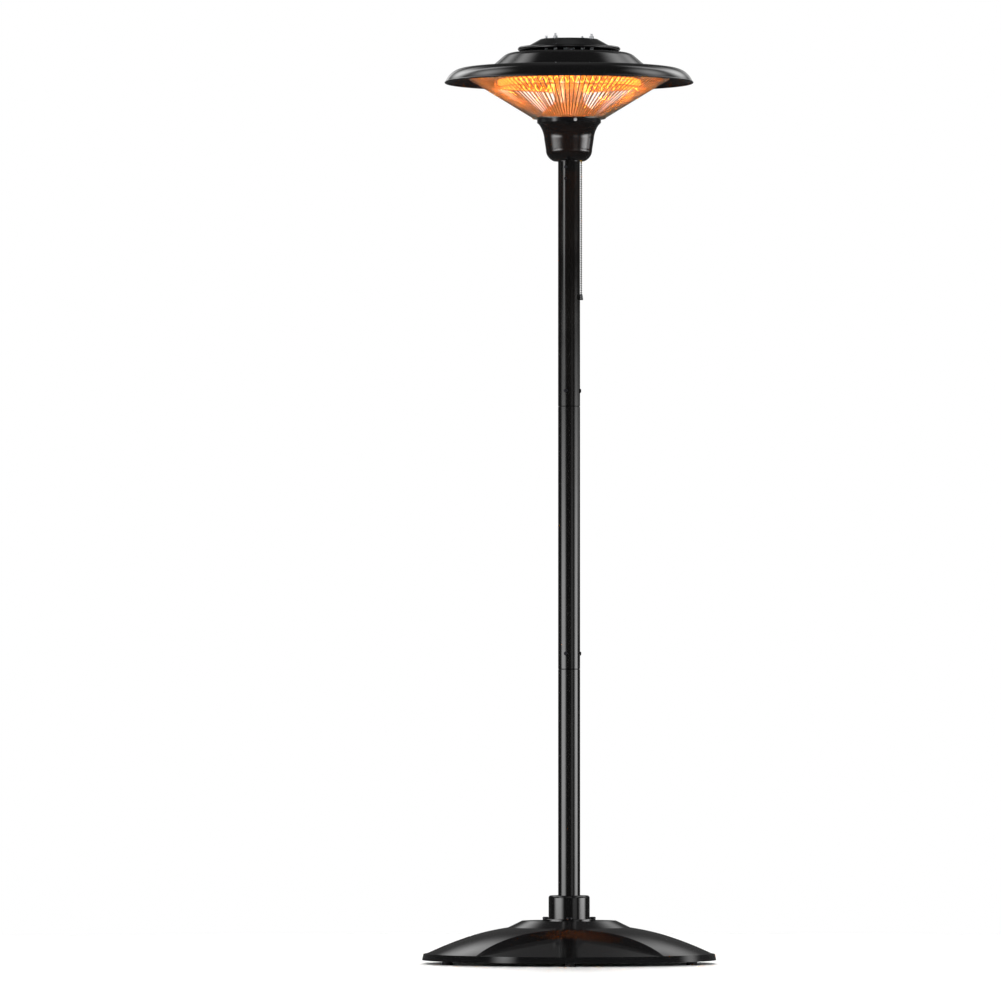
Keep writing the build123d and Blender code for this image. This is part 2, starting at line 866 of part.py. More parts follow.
with BuildPart() as pull_switch_body:
    with BuildSketch(switch_frame.offset(-switch_sink)):
        with Locations((0, (switch_front + switch_back) / 2)):
            Rectangle(switch_width, switch_back - switch_front)
    extrude(amount=switch_drop + switch_sink)
    with BuildSketch(switch_frame.offset(-switch_sink)):
        with Locations((0, (switch_front + switch_back) / 2 - switch_closed_end)):
            Rectangle(lever_wall + 2 * slot_gap, switch_back - switch_front)
    extrude(amount=switch_sink + switch_cap, mode=Mode.SUBTRACT)
    with Locations(switch_frame):
        with Locations((0, pivot_y, 0)):
            Cylinder(pin_radius, 2 * switch_width, rotation=(0, 90, 0), mode=Mode.SUBTRACT)
pull_switch_body.part.label = "pull_switch_body"
export_step(pull_switch_body.part, "parts/pull_switch_body.step")

with BuildPart() as switch_pin:
    with Locations(switch_frame):
        with Locations((0, pivot_y, 0)):
            Cylinder(pin_radius, switch_width, rotation=(0, 90, 0))
switch_pin.part.label = "switch_pin"
export_step(switch_pin.part, "parts/switch_pin.step")

fork_end = lever_arm + fork_tip
fork_start = fork_end - fork_length
slot_start = pivot_y - rod_radius - fork_slot_play
slot_length = 2 * (fork_end - slot_start)

with BuildPart() as switch_lever:
    with Locations(switch_frame):
        with Locations(Location((0, pivot_y, 0), (-lever_rest_angle, 0, 0))):
            Cylinder(lever_hub, lever_wall, rotation=(0, 90, 0))
            with Locations((0, -fork_start / 2, 0)):
                Box(lever_wall, fork_start, fork_wall)
            with Locations((0, -fork_start - fork_length / 2, 0)):
                Box(fork_width, fork_length, fork_wall)
            with Locations((0, -slot_start - slot_length / 2, 0)):
                Box(2 * (rod_radius + fork_slot_play), slot_length, 3 * fork_wall, mode=Mode.SUBTRACT)
            Cylinder(pin_radius + screw_play, 2 * lever_wall, rotation=(0, 90, 0), mode=Mode.SUBTRACT)
switch_lever.part.label = "switch_lever"
export_step(switch_lever.part, "parts/switch_lever.step")

bush_top = bell_z + bell_wall + bush_flange
swing_z = bell_z - bush_lip - swing_gap
stem_ball_z = lid_under_z - switch_drop + fork_z + ball_rise
stop_z = bush_top + spring_length


def turned_at_chain(points):
    """Solid turned about the pull chain's own line."""
    with BuildPart() as piece:
        with BuildSketch(Plane(origin=(chain_x, chain_y, 0), x_dir=(1, 0, 0), z_dir=(0, -1, 0))):
            with BuildLine():
                Polyline(*points, close=True)
            make_face()
        revolve(axis=Axis((chain_x, chain_y, 0), (0, 0, 1)))
    return piece.part


with BuildPart() as chain_bush:
    bush_bore = rod_radius + rod_clearance
    add(
        turned_at_chain(
            [
                (bush_bore, bell_z - bush_lip),
                (bush_radius, bell_z - bush_lip),
                (bush_radius, bell_z + bell_wall),
                (bush_radius + bush_lip, bell_z + bell_wall),
                (bush_radius + bush_lip, bush_top),
                (bush_bore, bush_top),
            ]
        )
    )
chain_bush.part.label = "chain_bush"
export_step(chain_bush.part, "parts/chain_bush.step")

with BuildPart() as pull_rod:
    add(
        turned_at_chain(
            [
                (0, swing_z),
                (rod_radius, swing_z),
                (rod_radius, stop_z),
                (stop_radius, stop_z),
                (stop_radius, stop_z + stop_height),
                (rod_radius, stop_z + stop_height),
                (rod_radius, stem_ball_z),
                (0, stem_ball_z),
            ]
        )
    )
    with Locations((chain_x, chain_y, stem_ball_z)):
        Sphere(ball_radius)
    with Locations((chain_x, chain_y, swing_z)):
        Sphere(bead_radius)
pull_rod.part.label = "pull_rod"
export_step(pull_rod.part, "parts/pull_rod.step")


def spring_station(step):
    """Point and direction on the return spring, a quarter turn a step."""
    angle = math.pi / 2 * step
    rise = (spring_length - 2 * spring_wire) / (4 * spring_turns)
    point = Vector(
        chain_x + spring_radius * math.cos(angle),
        chain_y + spring_radius * math.sin(angle),
        bush_top + spring_wire + rise * step,
    )
    way = Vector(-spring_radius * math.sin(angle), spring_radius * math.cos(angle), rise * 2 / math.pi)
    return point, way.normalized()


spring_stations = [spring_station(step) for step in range(4 * spring_turns + 1)]

with BuildPart() as return_spring:
    add(wound(spring_stations, spring_wire))
return_spring.part.label = "return_spring"
export_step(return_spring.part, "parts/return_spring.step")
print("return spring: least gap", round(least_gap(spring_stations, 4, spring_wire), 2), "mm")

chain_bottom = swing_z - (bead_count + 0.5) * bead_pitch
chain_top = swing_z - bead_radius - 0.25

with BuildPart() as pull_chain:
    with BuildSketch(Plane(origin=(chain_x, chain_y, 0), x_dir=(1, 0, 0), z_dir=(0, -1, 0))):
        with BuildLine():
            waist = math.sqrt(bead_radius**2 - link_radius**2)
            Line((0, chain_bottom), (link_radius, chain_bottom))
            last = (link_radius, chain_bottom)
            for bead in range(bead_count, 0, -1):
                middle_z = swing_z - bead * bead_pitch
                Line(last, (link_radius, middle_z - waist))
                ThreePointArc(
                    (link_radius, middle_z - waist), (bead_radius, middle_z), (link_radius, middle_z + waist)
                )
                last = (link_radius, middle_z + waist)
            Polyline(last, (link_radius, chain_top), (0, chain_top), (0, chain_bottom))
        make_face()
    revolve(axis=Axis((chain_x, chain_y, 0), (0, 0, 1)))
pull_chain.part.label = "pull_chain"
export_step(pull_chain.part, "parts/pull_chain.step")

with BuildPart() as pull_pendant:
    add(
        turned_at_chain(
            [
                (0, chain_bottom - pendant_height),
                (0.8 * pendant_radius, chain_bottom - pendant_height),
                (pendant_radius, chain_bottom - 0.9 * pendant_height),
                (0.62 * pendant_radius, chain_bottom - 0.12 * pendant_height),
                (0.4 * pendant_radius, chain_bottom),
                (0, chain_bottom),
            ]
        )
    )
pull_pendant.part.label = "pull_pendant"
export_step(pull_pendant.part, "parts/pull_pendant.step")

# ---- Other parts in the bell -------------------------------------------------------------------

block_z = pole_top_z + block_rise
bracket_width = block_width - 2 * bracket_inset
bracket_foot = block_depth - bracket_foot_gap

with BuildPart() as terminal_bracket:
    with BuildSketch(radial_plane(block_reach, window_angle, 0)):
        with Locations(((block_z + lid_under_z) / 2, 0)):
            Rectangle(lid_under_z - block_z, bracket_width)
    extrude(amount=bracket_wall)
    with BuildSketch(radial_plane(block_reach - bracket_foot, window_angle, 0)):
        with Locations((lid_under_z - bracket_wall / 2, 0)):
            Rectangle(bracket_wall, bracket_width)
    extrude(amount=bracket_foot + bracket_wall)
terminal_bracket.part.label = "terminal_bracket"
export_step(terminal_bracket.part, "parts/terminal_bracket.step")

with BuildPart() as terminal_block:
    with BuildSketch(radial_plane(block_reach - block_depth, window_angle, 0)):
        with Locations((block_z + block_height / 2, 0)):
            Rectangle(block_height, block_width)
    extrude(amount=block_depth)
    with Locations(radial_plane(block_reach - block_depth, window_angle, block_z + block_height / 2)):
        with GridLocations(0.5 * block_height, 0.3 * block_width, 2, 3):
            Cylinder(block_hole_radius, 2 * block_hole_depth, mode=Mode.SUBTRACT)
terminal_block.part.label = "terminal_block"
export_step(terminal_block.part, "parts/terminal_block.step")

with BuildPart() as thermal_cutout:
    with Locations(*[plane.offset(-cutout_height) for plane in ring_of(cutout_circle, lid_under_z, 1, cutout_angle)]):
        Cylinder(cutout_radius, cutout_height, align=(Align.CENTER, Align.CENTER, Align.MIN))
        Cylinder(0.6 * cutout_radius, 0.5 * cutout_height, align=(Align.CENTER, Align.CENTER, Align.MAX))
thermal_cutout.part.label = "thermal_cutout"
export_step(thermal_cutout.part, "parts/thermal_cutout.step")

with BuildPart() as tip_over_switch:
    with Locations(*[plane.offset(-tilt_size[2]) for plane in ring_of(cutout_circle, lid_under_z, 1, tilt_angle)]):
        Box(*tilt_size, align=(Align.CENTER, Align.CENTER, Align.MIN))
    fillet(tip_over_switch.edges().filter_by(Axis.Z), tilt_corner)
tip_over_switch.part.label = "tip_over_switch"
export_step(tip_over_switch.part, "parts/tip_over_switch.step")

# ---- Guard, column and centre rod --------------------------------------------------------------

wire_run = Vector(guard_top_radius - guard_foot_radius, guard_height)
wire_length = wire_run.length
wire_way = wire_run.normalized()
face_way = Vector(-wire_way.Y, wire_way.X)


def on_wire(along, across):
    """(radius, height) of a point on a guard wire's own grid, from the wire's foot."""
    return (
        guard_foot_radius + wire_way.X * along + face_way.X * across,
        bell_top_z + guard_foot_rise + wire_way.Y * along + face_way.Y * across,
    )


def face_radius_at(z, along):
    """Radius where the face square to the wires meets a level."""
    foot = on_wire(along, 0)
    return foot[0] + (z - foot[1]) * face_way.X / face_way.Y


plate_rim = on_wire(0, guard_face / 2)

with BuildPart() as guard_plate:
    add(
        turned(
            [
                (rod_hole_radius, bell_top_z),
                (face_radius_at(bell_top_z, 0), bell_top_z),
                plate_rim,
                (plate_rim[0] - guard_seat_width, plate_rim[1]),
                (plate_rim[0] - guard_seat_width, guard_plate_top),
                (rod_hole_radius, guard_plate_top),
            ]
        )
    )
guard_plate.part.label = "guard_plate"
export_step(guard_plate.part, "parts/guard_plate.step")

wire_foot = on_wire(0, 0)

with BuildPart() as guard_wires:
    with BuildPart(mode=Mode.PRIVATE) as guard_wire:
        foot_point = (wire_foot[0], 0, wire_foot[1])
        with BuildSketch(Plane(origin=foot_point, z_dir=(wire_way.X, 0, wire_way.Y))):
            Circle(guard_wire_radius)
        extrude(amount=wire_length)
    with PolarLocations(0, guard_wire_count):
        add(guard_wire.part)
guard_wires.part.label = "guard_wires"
export_step(guard_wires.part, "parts/guard_wires.step")

ring_low = on_wire(wire_length + guard_weld_gap, -guard_face / 2)
ring_high = on_wire(wire_length + guard_weld_gap, guard_face / 2)
ring_outer = ring_low[0] + guard_ring_width
ring_top = ring_high[1] + guard_ring_lip

with BuildPart() as guard_ring:
    add(
        turned(
            [
                ring_low,
                (ring_outer, ring_low[1]),
                (ring_outer, ring_top),
                (ring_high[0], ring_top),
                ring_high,
            ]
        )
    )
guard_ring.part.label = "guard_ring"
export_step(guard_ring.part, "parts/guard_ring.step")

with BuildPart() as heat_shield:
    with BuildSketch(Plane.XZ):
        with BuildLine():
            Polyline(
                (shield_radius, guard_plate_top),
                (column_radius + shield_throat, guard_plate_top + shield_height - shield_collar - shield_neck),
                (column_radius + shield_wall, guard_plate_top + shield_height - shield_collar),
                (column_radius + shield_wall, guard_plate_top + shield_height),
            )
            offset(amount=shield_wall, side=Side.LEFT)
        make_face()
    revolve(axis=Axis.Z)
    with BuildSketch(Plane.XY.offset(guard_plate_top - shield_height)):
        Circle(2 * shield_radius)
    extrude(amount=shield_height, mode=Mode.SUBTRACT)
heat_shield.part.label = "heat_shield"
export_step(heat_shield.part, "parts/heat_shield.step")

with BuildPart() as centre_column:
    with BuildSketch(Plane.XY.offset(guard_plate_top)):
        Circle(column_radius)
        Circle(column_radius - column_wall, mode=Mode.SUBTRACT)
    extrude(amount=column_height)
centre_column.part.label = "centre_column"
export_step(centre_column.part, "parts/centre_column.step")

lead_z = shade_top_z + 0.4 * dome_height
rod_bottom = lid_under_z - rod_nut_height - rod_tail_low
rod_top = dome_top_z + rod_nut_height + rod_tail_high

with BuildPart() as centre_rod:
    with BuildSketch(Plane.XY.offset(rod_bottom)):
        Circle(rod_outer_radius)
        Circle(rod_bore_radius, mode=Mode.SUBTRACT)
    extrude(amount=rod_top - rod_bottom)
    with Locations((0, rod_outer_radius, lead_z)):
        Box(*rod_window, mode=Mode.SUBTRACT)
centre_rod.part.label = "centre_rod"
export_step(centre_rod.part, "parts/centre_rod.step")

nut_bore = rod_outer_radius + screw_play

with BuildPart() as lower_rod_nut:
    with Locations((0, 0, lid_under_z - rod_nut_height)):
        add(hex_nut(rod_nut_width, rod_nut_height, nut_bore))
lower_rod_nut.part.label = "lower_rod_nut"
export_step(lower_rod_nut.part, "parts/lower_rod_nut.step")

with BuildPart() as jam_nut:
    with Locations((0, 0, reflector_z + reflector_wall)):
        add(hex_nut(rod_nut_width, jam_nut_height, nut_bore))
jam_nut.part.label = "jam_nut"
export_step(jam_nut.part, "parts/jam_nut.step")

with BuildPart() as top_rod_nut:
    with Locations((0, 0, dome_top_z)):
        add(hex_nut(rod_nut_width, rod_nut_height, nut_bore))
top_rod_nut.part.label = "top_rod_nut"
export_step(top_rod_nut.part, "parts/top_rod_nut.step")

# ---- Lamp --------------------------------------------------------------------------------------

lamp_start = 90 + lamp_gap / 2
lamp_arc = 360 - lamp_gap
quartz_bore = quartz_radius - quartz_wall

with BuildPart() as quartz_tube:
    with BuildSketch(meridian(lamp_start)):
        with Locations((lamp_circle, lamp_z)):
            Circle(quartz_radius)
            Circle(quartz_bore, mode=Mode.SUBTRACT)
    revolve(axis=Axis.Z, revolution_arc=lamp_arc)
quartz_tube.part.label = "quartz_tube"
export_step(quartz_tube.part, "parts/quartz_tube.step")

coil_start = lamp_start + coil_lead
coil_arc = lamp_arc - 2 * coil_lead


def coil_station(step):
    """Point and direction on the heating coil, a quarter turn a step round the lamp's circle."""
    around = math.radians(coil_start + coil_arc * step / (4 * coil_turns))
    spin = math.pi / 2 * step
    out = lamp_circle + coil_radius * math.cos(spin)
    point = Vector(out * math.cos(around), out * math.sin(around), lamp_z + coil_radius * math.sin(spin))
    around_rate = math.radians(coil_arc) / (4 * coil_turns) / (math.pi / 2)
    out_rate = -coil_radius * math.sin(spin)
    way = Vector(
        out_rate * math.cos(around) - out * math.sin(around) * around_rate,
        out_rate * math.sin(around) + out * math.cos(around) * around_rate,
        coil_radius * math.cos(spin),
    )
    return point, way.normalized()


def lead_station(angle):
    """Point and direction of the coil's straight end on the quartz tube's centre line."""
    a = math.radians(angle)
    point = Vector(lamp_circle * math.cos(a), lamp_circle * math.sin(a), lamp_z)
    return point, Vector(-math.sin(a), math.cos(a), 0)


coil_stations = [coil_station(step) for step in range(4 * coil_turns + 1)]
lead_in = [lead_station(lamp_start), lead_station(lamp_start + 0.3 * coil_lead)]
lead_out = [lead_station(lamp_start + lamp_arc - 0.3 * coil_lead), lead_station(lamp_start + lamp_arc)]

with BuildPart() as heating_coil:
    add(wound(lead_in + coil_stations + lead_out, coil_wire))
heating_coil.part.label = "heating_coil"
export_step(heating_coil.part, "parts/heating_coil.step")
print("heating coil: least gap", round(least_gap(coil_stations, 4, coil_wire), 2), "mm")


def lead_start(sign):
    """Where one lamp lead leaves its end cap; sign is 1 on the right of the gap."""
    a = math.radians(90 - sign * (lamp_gap / 2 - cap_sleeve_angle))
    return Vector(lamp_circle * math.cos(a), lamp_circle * math.sin(a), lamp_z)


def lead_rise(sign, z):
    """Point on the upright run of one lamp lead, straight out from its end cap."""
    a = math.radians(90 - sign * (lamp_gap / 2 - cap_sleeve_angle))
    way = Vector(-math.sin(a), math.cos(a), 0) * sign
    corner = lead_start(sign) + way * lead_reach
    return Vector(corner.X, corner.Y, z)


def end_cap(sign):
    """Ceramic cap over one end of the quartz tube; sign is 1 on the side where angles grow."""
    tube_end = 90 + sign * lamp_gap / 2
    start = tube_end - cap_sleeve_angle
    sleeve_start = tube_end if sign > 0 else start
    with BuildPart() as cap:
        with BuildSketch(meridian(start)):
            with Locations((lamp_circle, lamp_z)):
                RectangleRounded(cap_block, cap_block, cap_corner)
        revolve(axis=Axis.Z, revolution_arc=2 * cap_sleeve_angle)
        with BuildSketch(meridian(sleeve_start)):
            with Locations((lamp_circle, lamp_z)):
                Circle(quartz_radius)
        revolve(axis=Axis.Z, revolution_arc=cap_sleeve_angle, mode=Mode.SUBTRACT)
    return cap.part


with BuildPart() as lamp_end_caps:
    add(end_cap(1))
    add(end_cap(-1))
lamp_end_caps.part.label = "lamp_end_caps"
export_step(lamp_end_caps.part, "parts/lamp_end_caps.step")

cap_top = lamp_z + cap_block / 2
bracket_sweep = lamp_gap - 2 * cap_sleeve_angle + bracket_extra_sweep
bracket_inner = lamp_circle - bracket_half_width
bracket_outer = lamp_circle + bracket_half_width

with BuildPart() as lamp_end_bracket:
    add(
        turned(
            [
                (bracket_inner, cap_top),
                (bracket_outer, cap_top),
                (bracket_outer, cap_top + bracket_wall),
                (bracket_inner, cap_top + bracket_wall),
            ],
            90 - bracket_sweep / 2,
            bracket_sweep,
        )
    )
    add(
        turned(
            [
                (bracket_inner, cap_top),
                (bracket_outer, cap_top),
                (bracket_outer, reflector_z),
                (bracket_inner, reflector_z),
            ],
            90 - bracket_web_sweep / 2,
            bracket_web_sweep,
        )
    )
    for lead_sign in (-1, 1):
        with Locations(lead_rise(lead_sign, cap_top)):
            Cylinder(lead_radius + lead_play, 8 * bracket_wall, mode=Mode.SUBTRACT)
lamp_end_bracket.part.label = "lamp_end_bracket"
export_step(lamp_end_bracket.part, "parts/lamp_end_bracket.step")


def lamp_clip(angle):
    """Strip that hangs from the reflector and wraps the quartz tube."""
    with BuildPart() as clip:
        with BuildSketch(meridian(angle - clip_sweep / 2)):
            with Locations((lamp_circle, (lamp_z + reflector_z) / 2)):
                Rectangle(2 * clip_wall, reflector_z - lamp_z)
            with Locations((lamp_circle, lamp_z)):
                Circle(quartz_radius + clip_wall)
                Circle(quartz_radius, mode=Mode.SUBTRACT)
            with Locations((lamp_circle, reflector_z - clip_wall / 2)):
                Rectangle(clip_foot, clip_wall)
        revolve(axis=Axis.Z, revolution_arc=clip_sweep)
    return clip.part


with BuildPart() as lamp_clips:
    for clip_angle in clip_angles:
        add(lamp_clip(clip_angle))
lamp_clips.part.label = "lamp_clips"
export_step(lamp_clips.part, "parts/lamp_clips.step")

# ---- Reflector, spider, shade, dome and cap ----------------------------------------------------


with BuildPart() as reflector:
    with BuildSketch(Plane.XZ):
        with BuildLine():
            Line((rod_hole_radius, reflector_z), (reflector_flat, reflector_z))
            TangentArc(
                (reflector_flat, reflector_z), (reflector_radius, reflector_z - reflector_dip), tangent=(1, 0)
            )
            offset(amount=reflector_wall, side=Side.LEFT)
        make_face()
    revolve(axis=Axis.Z)
    for lead_sign in (-1, 1):
        with Locations(lead_rise(lead_sign, reflector_z)):
            Cylinder(lead_radius + lead_play, 8 * reflector_wall, mode=Mode.SUBTRACT)
reflector.part.label = "reflector"
export_step(reflector.part, "parts/reflector.step")

with BuildPart() as head_spider:
    with BuildSketch(Plane.XY.offset(spider_z)):
        Circle(1.6 * spider_arm_width)
        for arm in range(spider_arm_count // 2):
            arm_angle = 45 + 360 / spider_arm_count * arm
            Rectangle(2 * (dome_foot_radius - shade_seam), spider_arm_width, rotation=arm_angle)
        Circle(rod_hole_radius, mode=Mode.SUBTRACT)
    extrude(amount=spider_wall)
head_spider.part.label = "head_spider"
export_step(head_spider.part, "parts/head_spider.step")

shade_shoulder = (shade_shoulder_radius, shade_top_z - shade_shoulder_drop)
shade_edge = (shade_radius, shade_top_z - shade_drop)

with BuildPart() as shade:
    with BuildSketch(Plane.XZ):
        with BuildLine():
            Polyline((shade_hole, shade_top_z), (shade_slope_radius, shade_top_z), shade_shoulder)
            shoulder_way = Vector(shade_shoulder_radius - shade_slope_radius, -shade_shoulder_drop).normalized()
            TangentArc(shade_shoulder, shade_edge, tangent=shoulder_way)
            offset(amount=shade_wall, side=Side.RIGHT)
        make_face()
    revolve(axis=Axis.Z)
    with BuildSketch(Plane.XZ):
        with Locations((shade_radius - shade_wall / 2, shade_edge[1])):
            Circle(shade_bead)
    revolve(axis=Axis.Z)
shade.part.label = "shade"
export_step(shade.part, "parts/shade.step")

stud_planes = ring_of(stud_circle, dome_top_z, stud_count, stud_angle)

with BuildPart() as upper_dome:
    with BuildSketch(Plane.XZ):
        with BuildLine():
            FilletPolyline(
                (rod_hole_radius, dome_top_z),
                (dome_corner_radius, dome_top_z),
                (dome_foot_radius + 2 * dome_wall, shade_top_z - 2 * dome_wall * dome_height / dome_slope_run),
                radius=dome_blend,
            )
            offset(amount=dome_wall, side=Side.RIGHT)
        make_face()
    revolve(axis=Axis.Z)
    with BuildSketch(Plane.XY.offset(shade_top_z - dome_height)):
        Circle(2 * dome_foot_radius)
    extrude(amount=dome_height, mode=Mode.SUBTRACT)
    with Locations(*stud_planes):
        Cylinder(stud_radius + screw_play, 6 * dome_wall, mode=Mode.SUBTRACT)
upper_dome.part.label = "upper_dome"
export_step(upper_dome.part, "parts/upper_dome.step")

cap_ledge_z = cap_top_z - cap_cone_height

with BuildPart() as top_cap:
    with BuildSketch(Plane.XZ):
        with BuildLine():
            Polyline(
                (0, cap_top_z),
                (cap_top_radius, cap_top_z),
                (cap_cone_radius, cap_ledge_z),
                (cap_ledge_radius, cap_ledge_z),
            )
            TangentArc((cap_ledge_radius, cap_ledge_z), (cap_ledge_radius, cap_ledge_z - 2 * cap_bead), tangent=(1, 0))
            offset(amount=cap_wall, side=Side.RIGHT)
        make_face()
    revolve(axis=Axis.Z)
    with Locations(*[plane.offset(cap_top_z - dome_top_z) for plane in stud_planes]):
        Cylinder(stud_radius + screw_play, 6 * cap_wall, mode=Mode.SUBTRACT)
top_cap.part.label = "top_cap"
export_step(top_cap.part, "parts/top_cap.step")

spacer_height = cap_top_z - cap_wall - dome_top_z

with BuildPart() as cap_spacers:
    with Locations(*stud_planes):
        Cylinder(spacer_radius, spacer_height, align=(Align.CENTER, Align.CENTER, Align.MIN))
        Cylinder(stud_radius + screw_play, 3 * spacer_height, mode=Mode.SUBTRACT)
cap_spacers.part.label = "cap_spacers"
export_step(cap_spacers.part, "parts/cap_spacers.step")

nut_base_z = cap_top_z + washer_height
stud_top = nut_base_z + cap_nut_height + stud_tail

with BuildPart() as cap_washers:
    with Locations(*[plane.offset(cap_top_z - dome_top_z) for plane in stud_planes]):
        Cylinder(washer_radius, washer_height, align=(Align.CENTER, Align.CENTER, Align.MIN))
        Cylinder(stud_radius + screw_play, 4 * washer_height, mode=Mode.SUBTRACT)
cap_washers.part.label = "cap_washers"
export_step(cap_washers.part, "parts/cap_washers.step")

with BuildPart() as cap_nuts:
    nut_planes = [plane.offset(nut_base_z - dome_top_z) for plane in stud_planes]
    add(placed(hex_nut(cap_nut_width, cap_nut_height, stud_radius + screw_play), nut_planes))
cap_nuts.part.label = "cap_nuts"
export_step(cap_nuts.part, "parts/cap_nuts.step")

with BuildPart() as cap_studs:
    with Locations(*[plane.offset(-dome_wall) for plane in stud_planes]):
        Cylinder(stud_radius, stud_top - dome_top_z + dome_wall, align=(Align.CENTER, Align.CENTER, Align.MIN))
        Cylinder(stud_head_ratio * stud_radius, stud_head_height, align=(Align.CENTER, Align.CENTER, Align.MAX))
    chamfer(cap_studs.edges().group_by(Axis.Z)[-1], 0.25 * stud_radius)
cap_studs.part.label = "cap_studs"
export_step(cap_studs.part, "parts/cap_studs.step")


def shade_under(radius):
    """Height of the shade's underside on its nearly flat part, inside the shoulder."""
    run = shade_shoulder_radius - shade_slope_radius
    drop = shade_shoulder_drop * (radius - shade_slope_radius) / run
    tilt = math.hypot(shade_shoulder_drop, run) / run
    return shade_top_z - drop - shade_wall * tilt


hanger_in = ring_high[0] - hanger_reach
hanger_out = ring_outer - guard_face / 2

with BuildPart() as guard_hangers:
    for corner in range(hanger_count):
        add(
            turned(
                [
                    (hanger_in, shade_under(hanger_in)),
                    (hanger_in, shade_under(hanger_in) - hanger_wall),
                    (hanger_out - hanger_wall, shade_under(hanger_out - hanger_wall) - hanger_wall),
                    (hanger_out - hanger_wall, ring_top),
                    (hanger_out, ring_top),
                    (hanger_out, shade_under(hanger_out)),
                ],
                360 / hanger_count * corner - hanger_sweep / 2,
                hanger_sweep,
            )
        )
guard_hangers.part.label = "guard_hangers"
export_step(guard_hangers.part, "parts/guard_hangers.step")

# ---- Wiring ------------------------------------------------------------------------------------

lead_end = rod_bore_radius - 1.25 * lead_radius

with BuildPart() as lamp_leads:
    for lead_sign in (-1, 1):
        corner = lead_rise(lead_sign, lamp_z)
        rise = lead_rise(lead_sign, lead_z)
        rod_end = (lead_sign * 1.25 * lead_radius, lead_end, lead_z)
        bends = [lead_low_bend, lead_high_bend]
        add(tube_through([lead_start(lead_sign), corner, rise, rod_end], lead_radius, bends))
lamp_leads.part.label = "lamp_leads"
export_step(lamp_leads.part, "parts/lamp_leads.step")

window_way = Vector(math.cos(math.radians(window_angle)), math.sin(math.radians(window_angle)), 0)
block_face = block_reach - block_depth
riser_z = block_z + riser_level * block_height
riser_top = lead_z - lead_radius

with BuildPart() as riser_cable:
    elbow = Vector(0, 0, riser_z)
    add(
        tube_through(
            [Vector(0, 0, riser_top), elbow, elbow + window_way * block_face], riser_radius, [2.5 * riser_radius]
        )
    )
riser_cable.part.label = "riser_cable"
export_step(riser_cable.part, "parts/riser_cable.step")

supply_z = block_z + supply_level * block_height
under_socket = Vector(0, 0, gland_z)

with BuildPart() as supply_cable:
    elbow = Vector(0, 0, supply_z)
    add(
        tube_through(
            [Vector(0, gland_outer_y, gland_z), under_socket, elbow, elbow + window_way * block_face],
            cable_radius,
            [supply_bend, 4 * cable_radius],
        )
    )
supply_cable.part.label = "supply_cable"
export_step(supply_cable.part, "parts/supply_cable.step")
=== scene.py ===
"""Infrared patio heater on a slim pole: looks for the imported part.

Blender works in metres and the sizes here are in millimetres, in the part's own frame: +Z is up, the
origin is on the floor under the pole's axis, and the front, with the pull chain on its right, faces -Y.
"""

import logging
import math
from dataclasses import dataclass, field
from enum import Enum

import bmesh
import bpy
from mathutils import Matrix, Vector

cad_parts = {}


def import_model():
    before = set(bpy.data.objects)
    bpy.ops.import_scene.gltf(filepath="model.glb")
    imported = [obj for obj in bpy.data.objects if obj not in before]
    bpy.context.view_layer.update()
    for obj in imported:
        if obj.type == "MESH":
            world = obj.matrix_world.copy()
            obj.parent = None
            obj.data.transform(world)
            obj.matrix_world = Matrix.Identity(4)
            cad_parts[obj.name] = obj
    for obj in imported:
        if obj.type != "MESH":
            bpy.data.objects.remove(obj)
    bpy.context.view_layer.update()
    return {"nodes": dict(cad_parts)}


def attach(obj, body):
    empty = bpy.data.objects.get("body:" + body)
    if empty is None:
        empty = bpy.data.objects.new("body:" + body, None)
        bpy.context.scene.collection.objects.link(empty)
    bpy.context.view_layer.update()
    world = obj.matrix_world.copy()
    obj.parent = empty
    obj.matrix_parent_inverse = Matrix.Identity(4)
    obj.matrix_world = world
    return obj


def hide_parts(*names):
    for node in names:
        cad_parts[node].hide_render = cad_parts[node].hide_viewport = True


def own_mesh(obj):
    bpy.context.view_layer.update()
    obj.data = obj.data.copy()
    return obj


log = logging.getLogger("heater")

MM = 0.001
# Points nearer to each other than this become one
MERGE_GAP = 0.01 * MM
# Noise values at which a finish has fully turned from its first colour to its second
PATCH_EDGES = (0.35, 0.65)
# From this metallic share on, a finish keeps the shader's own IOR
METAL_SHARE = 0.5

Socket = bpy.types.NodeSocket
Number = bpy.types.NodeSocket | float


class Slot(Enum):
    """The record's material slots."""

    GLOSS_BLACK = "gloss_black_paint"
    POLE_BLACK = "pole_black_paint"
    DARK_SCREW = "dark_screw"
    ZINC = "zinc_steel"
    CHROME = "guard_chrome"
    ALUMINIUM = "polished_aluminium"
    QUARTZ = "quartz_glass"
    FILAMENT = "hot_filament"
    CERAMIC = "ceramic_white"
    RUBBER = "black_rubber"
    BLACK_PLASTIC = "black_plastic"
    IVORY_PLASTIC = "ivory_plastic"
    BRASS = "brass"
    CEMENT = "cement_grey"
    SHEATH = "cable_sheath"
    CHAIN = "chain_steel"


class Body(Enum):
    """The part's bodies that carry a piece made here."""

    STAND = "stand"
    CHAIN = "chain"


class Ray(Enum):
    """The kinds of ray that a light can be hidden from, as Blender's objects name them."""

    CAMERA = "visible_camera"
    DIFFUSE = "visible_diffuse"
    GLOSS = "visible_glossy"
    GLASS = "visible_transmission"


# ---- Colours, nodes and lights -------------------------------------------------------------------


def linear(hex_colour: str) -> tuple[float, float, float, float]:
    """Turn an sRGB hex colour into linear RGBA.

    Args:
        hex_colour: Six hex digits after a hash.

    Returns:
        The linear colour, opaque.
    """
    channels = [int(hex_colour[i : i + 2], 16) / 255 for i in (1, 3, 5)]
    return (*[c / 12.92 if c <= 0.04045 else ((c + 0.055) / 1.055) ** 2.4 for c in channels], 1.0)


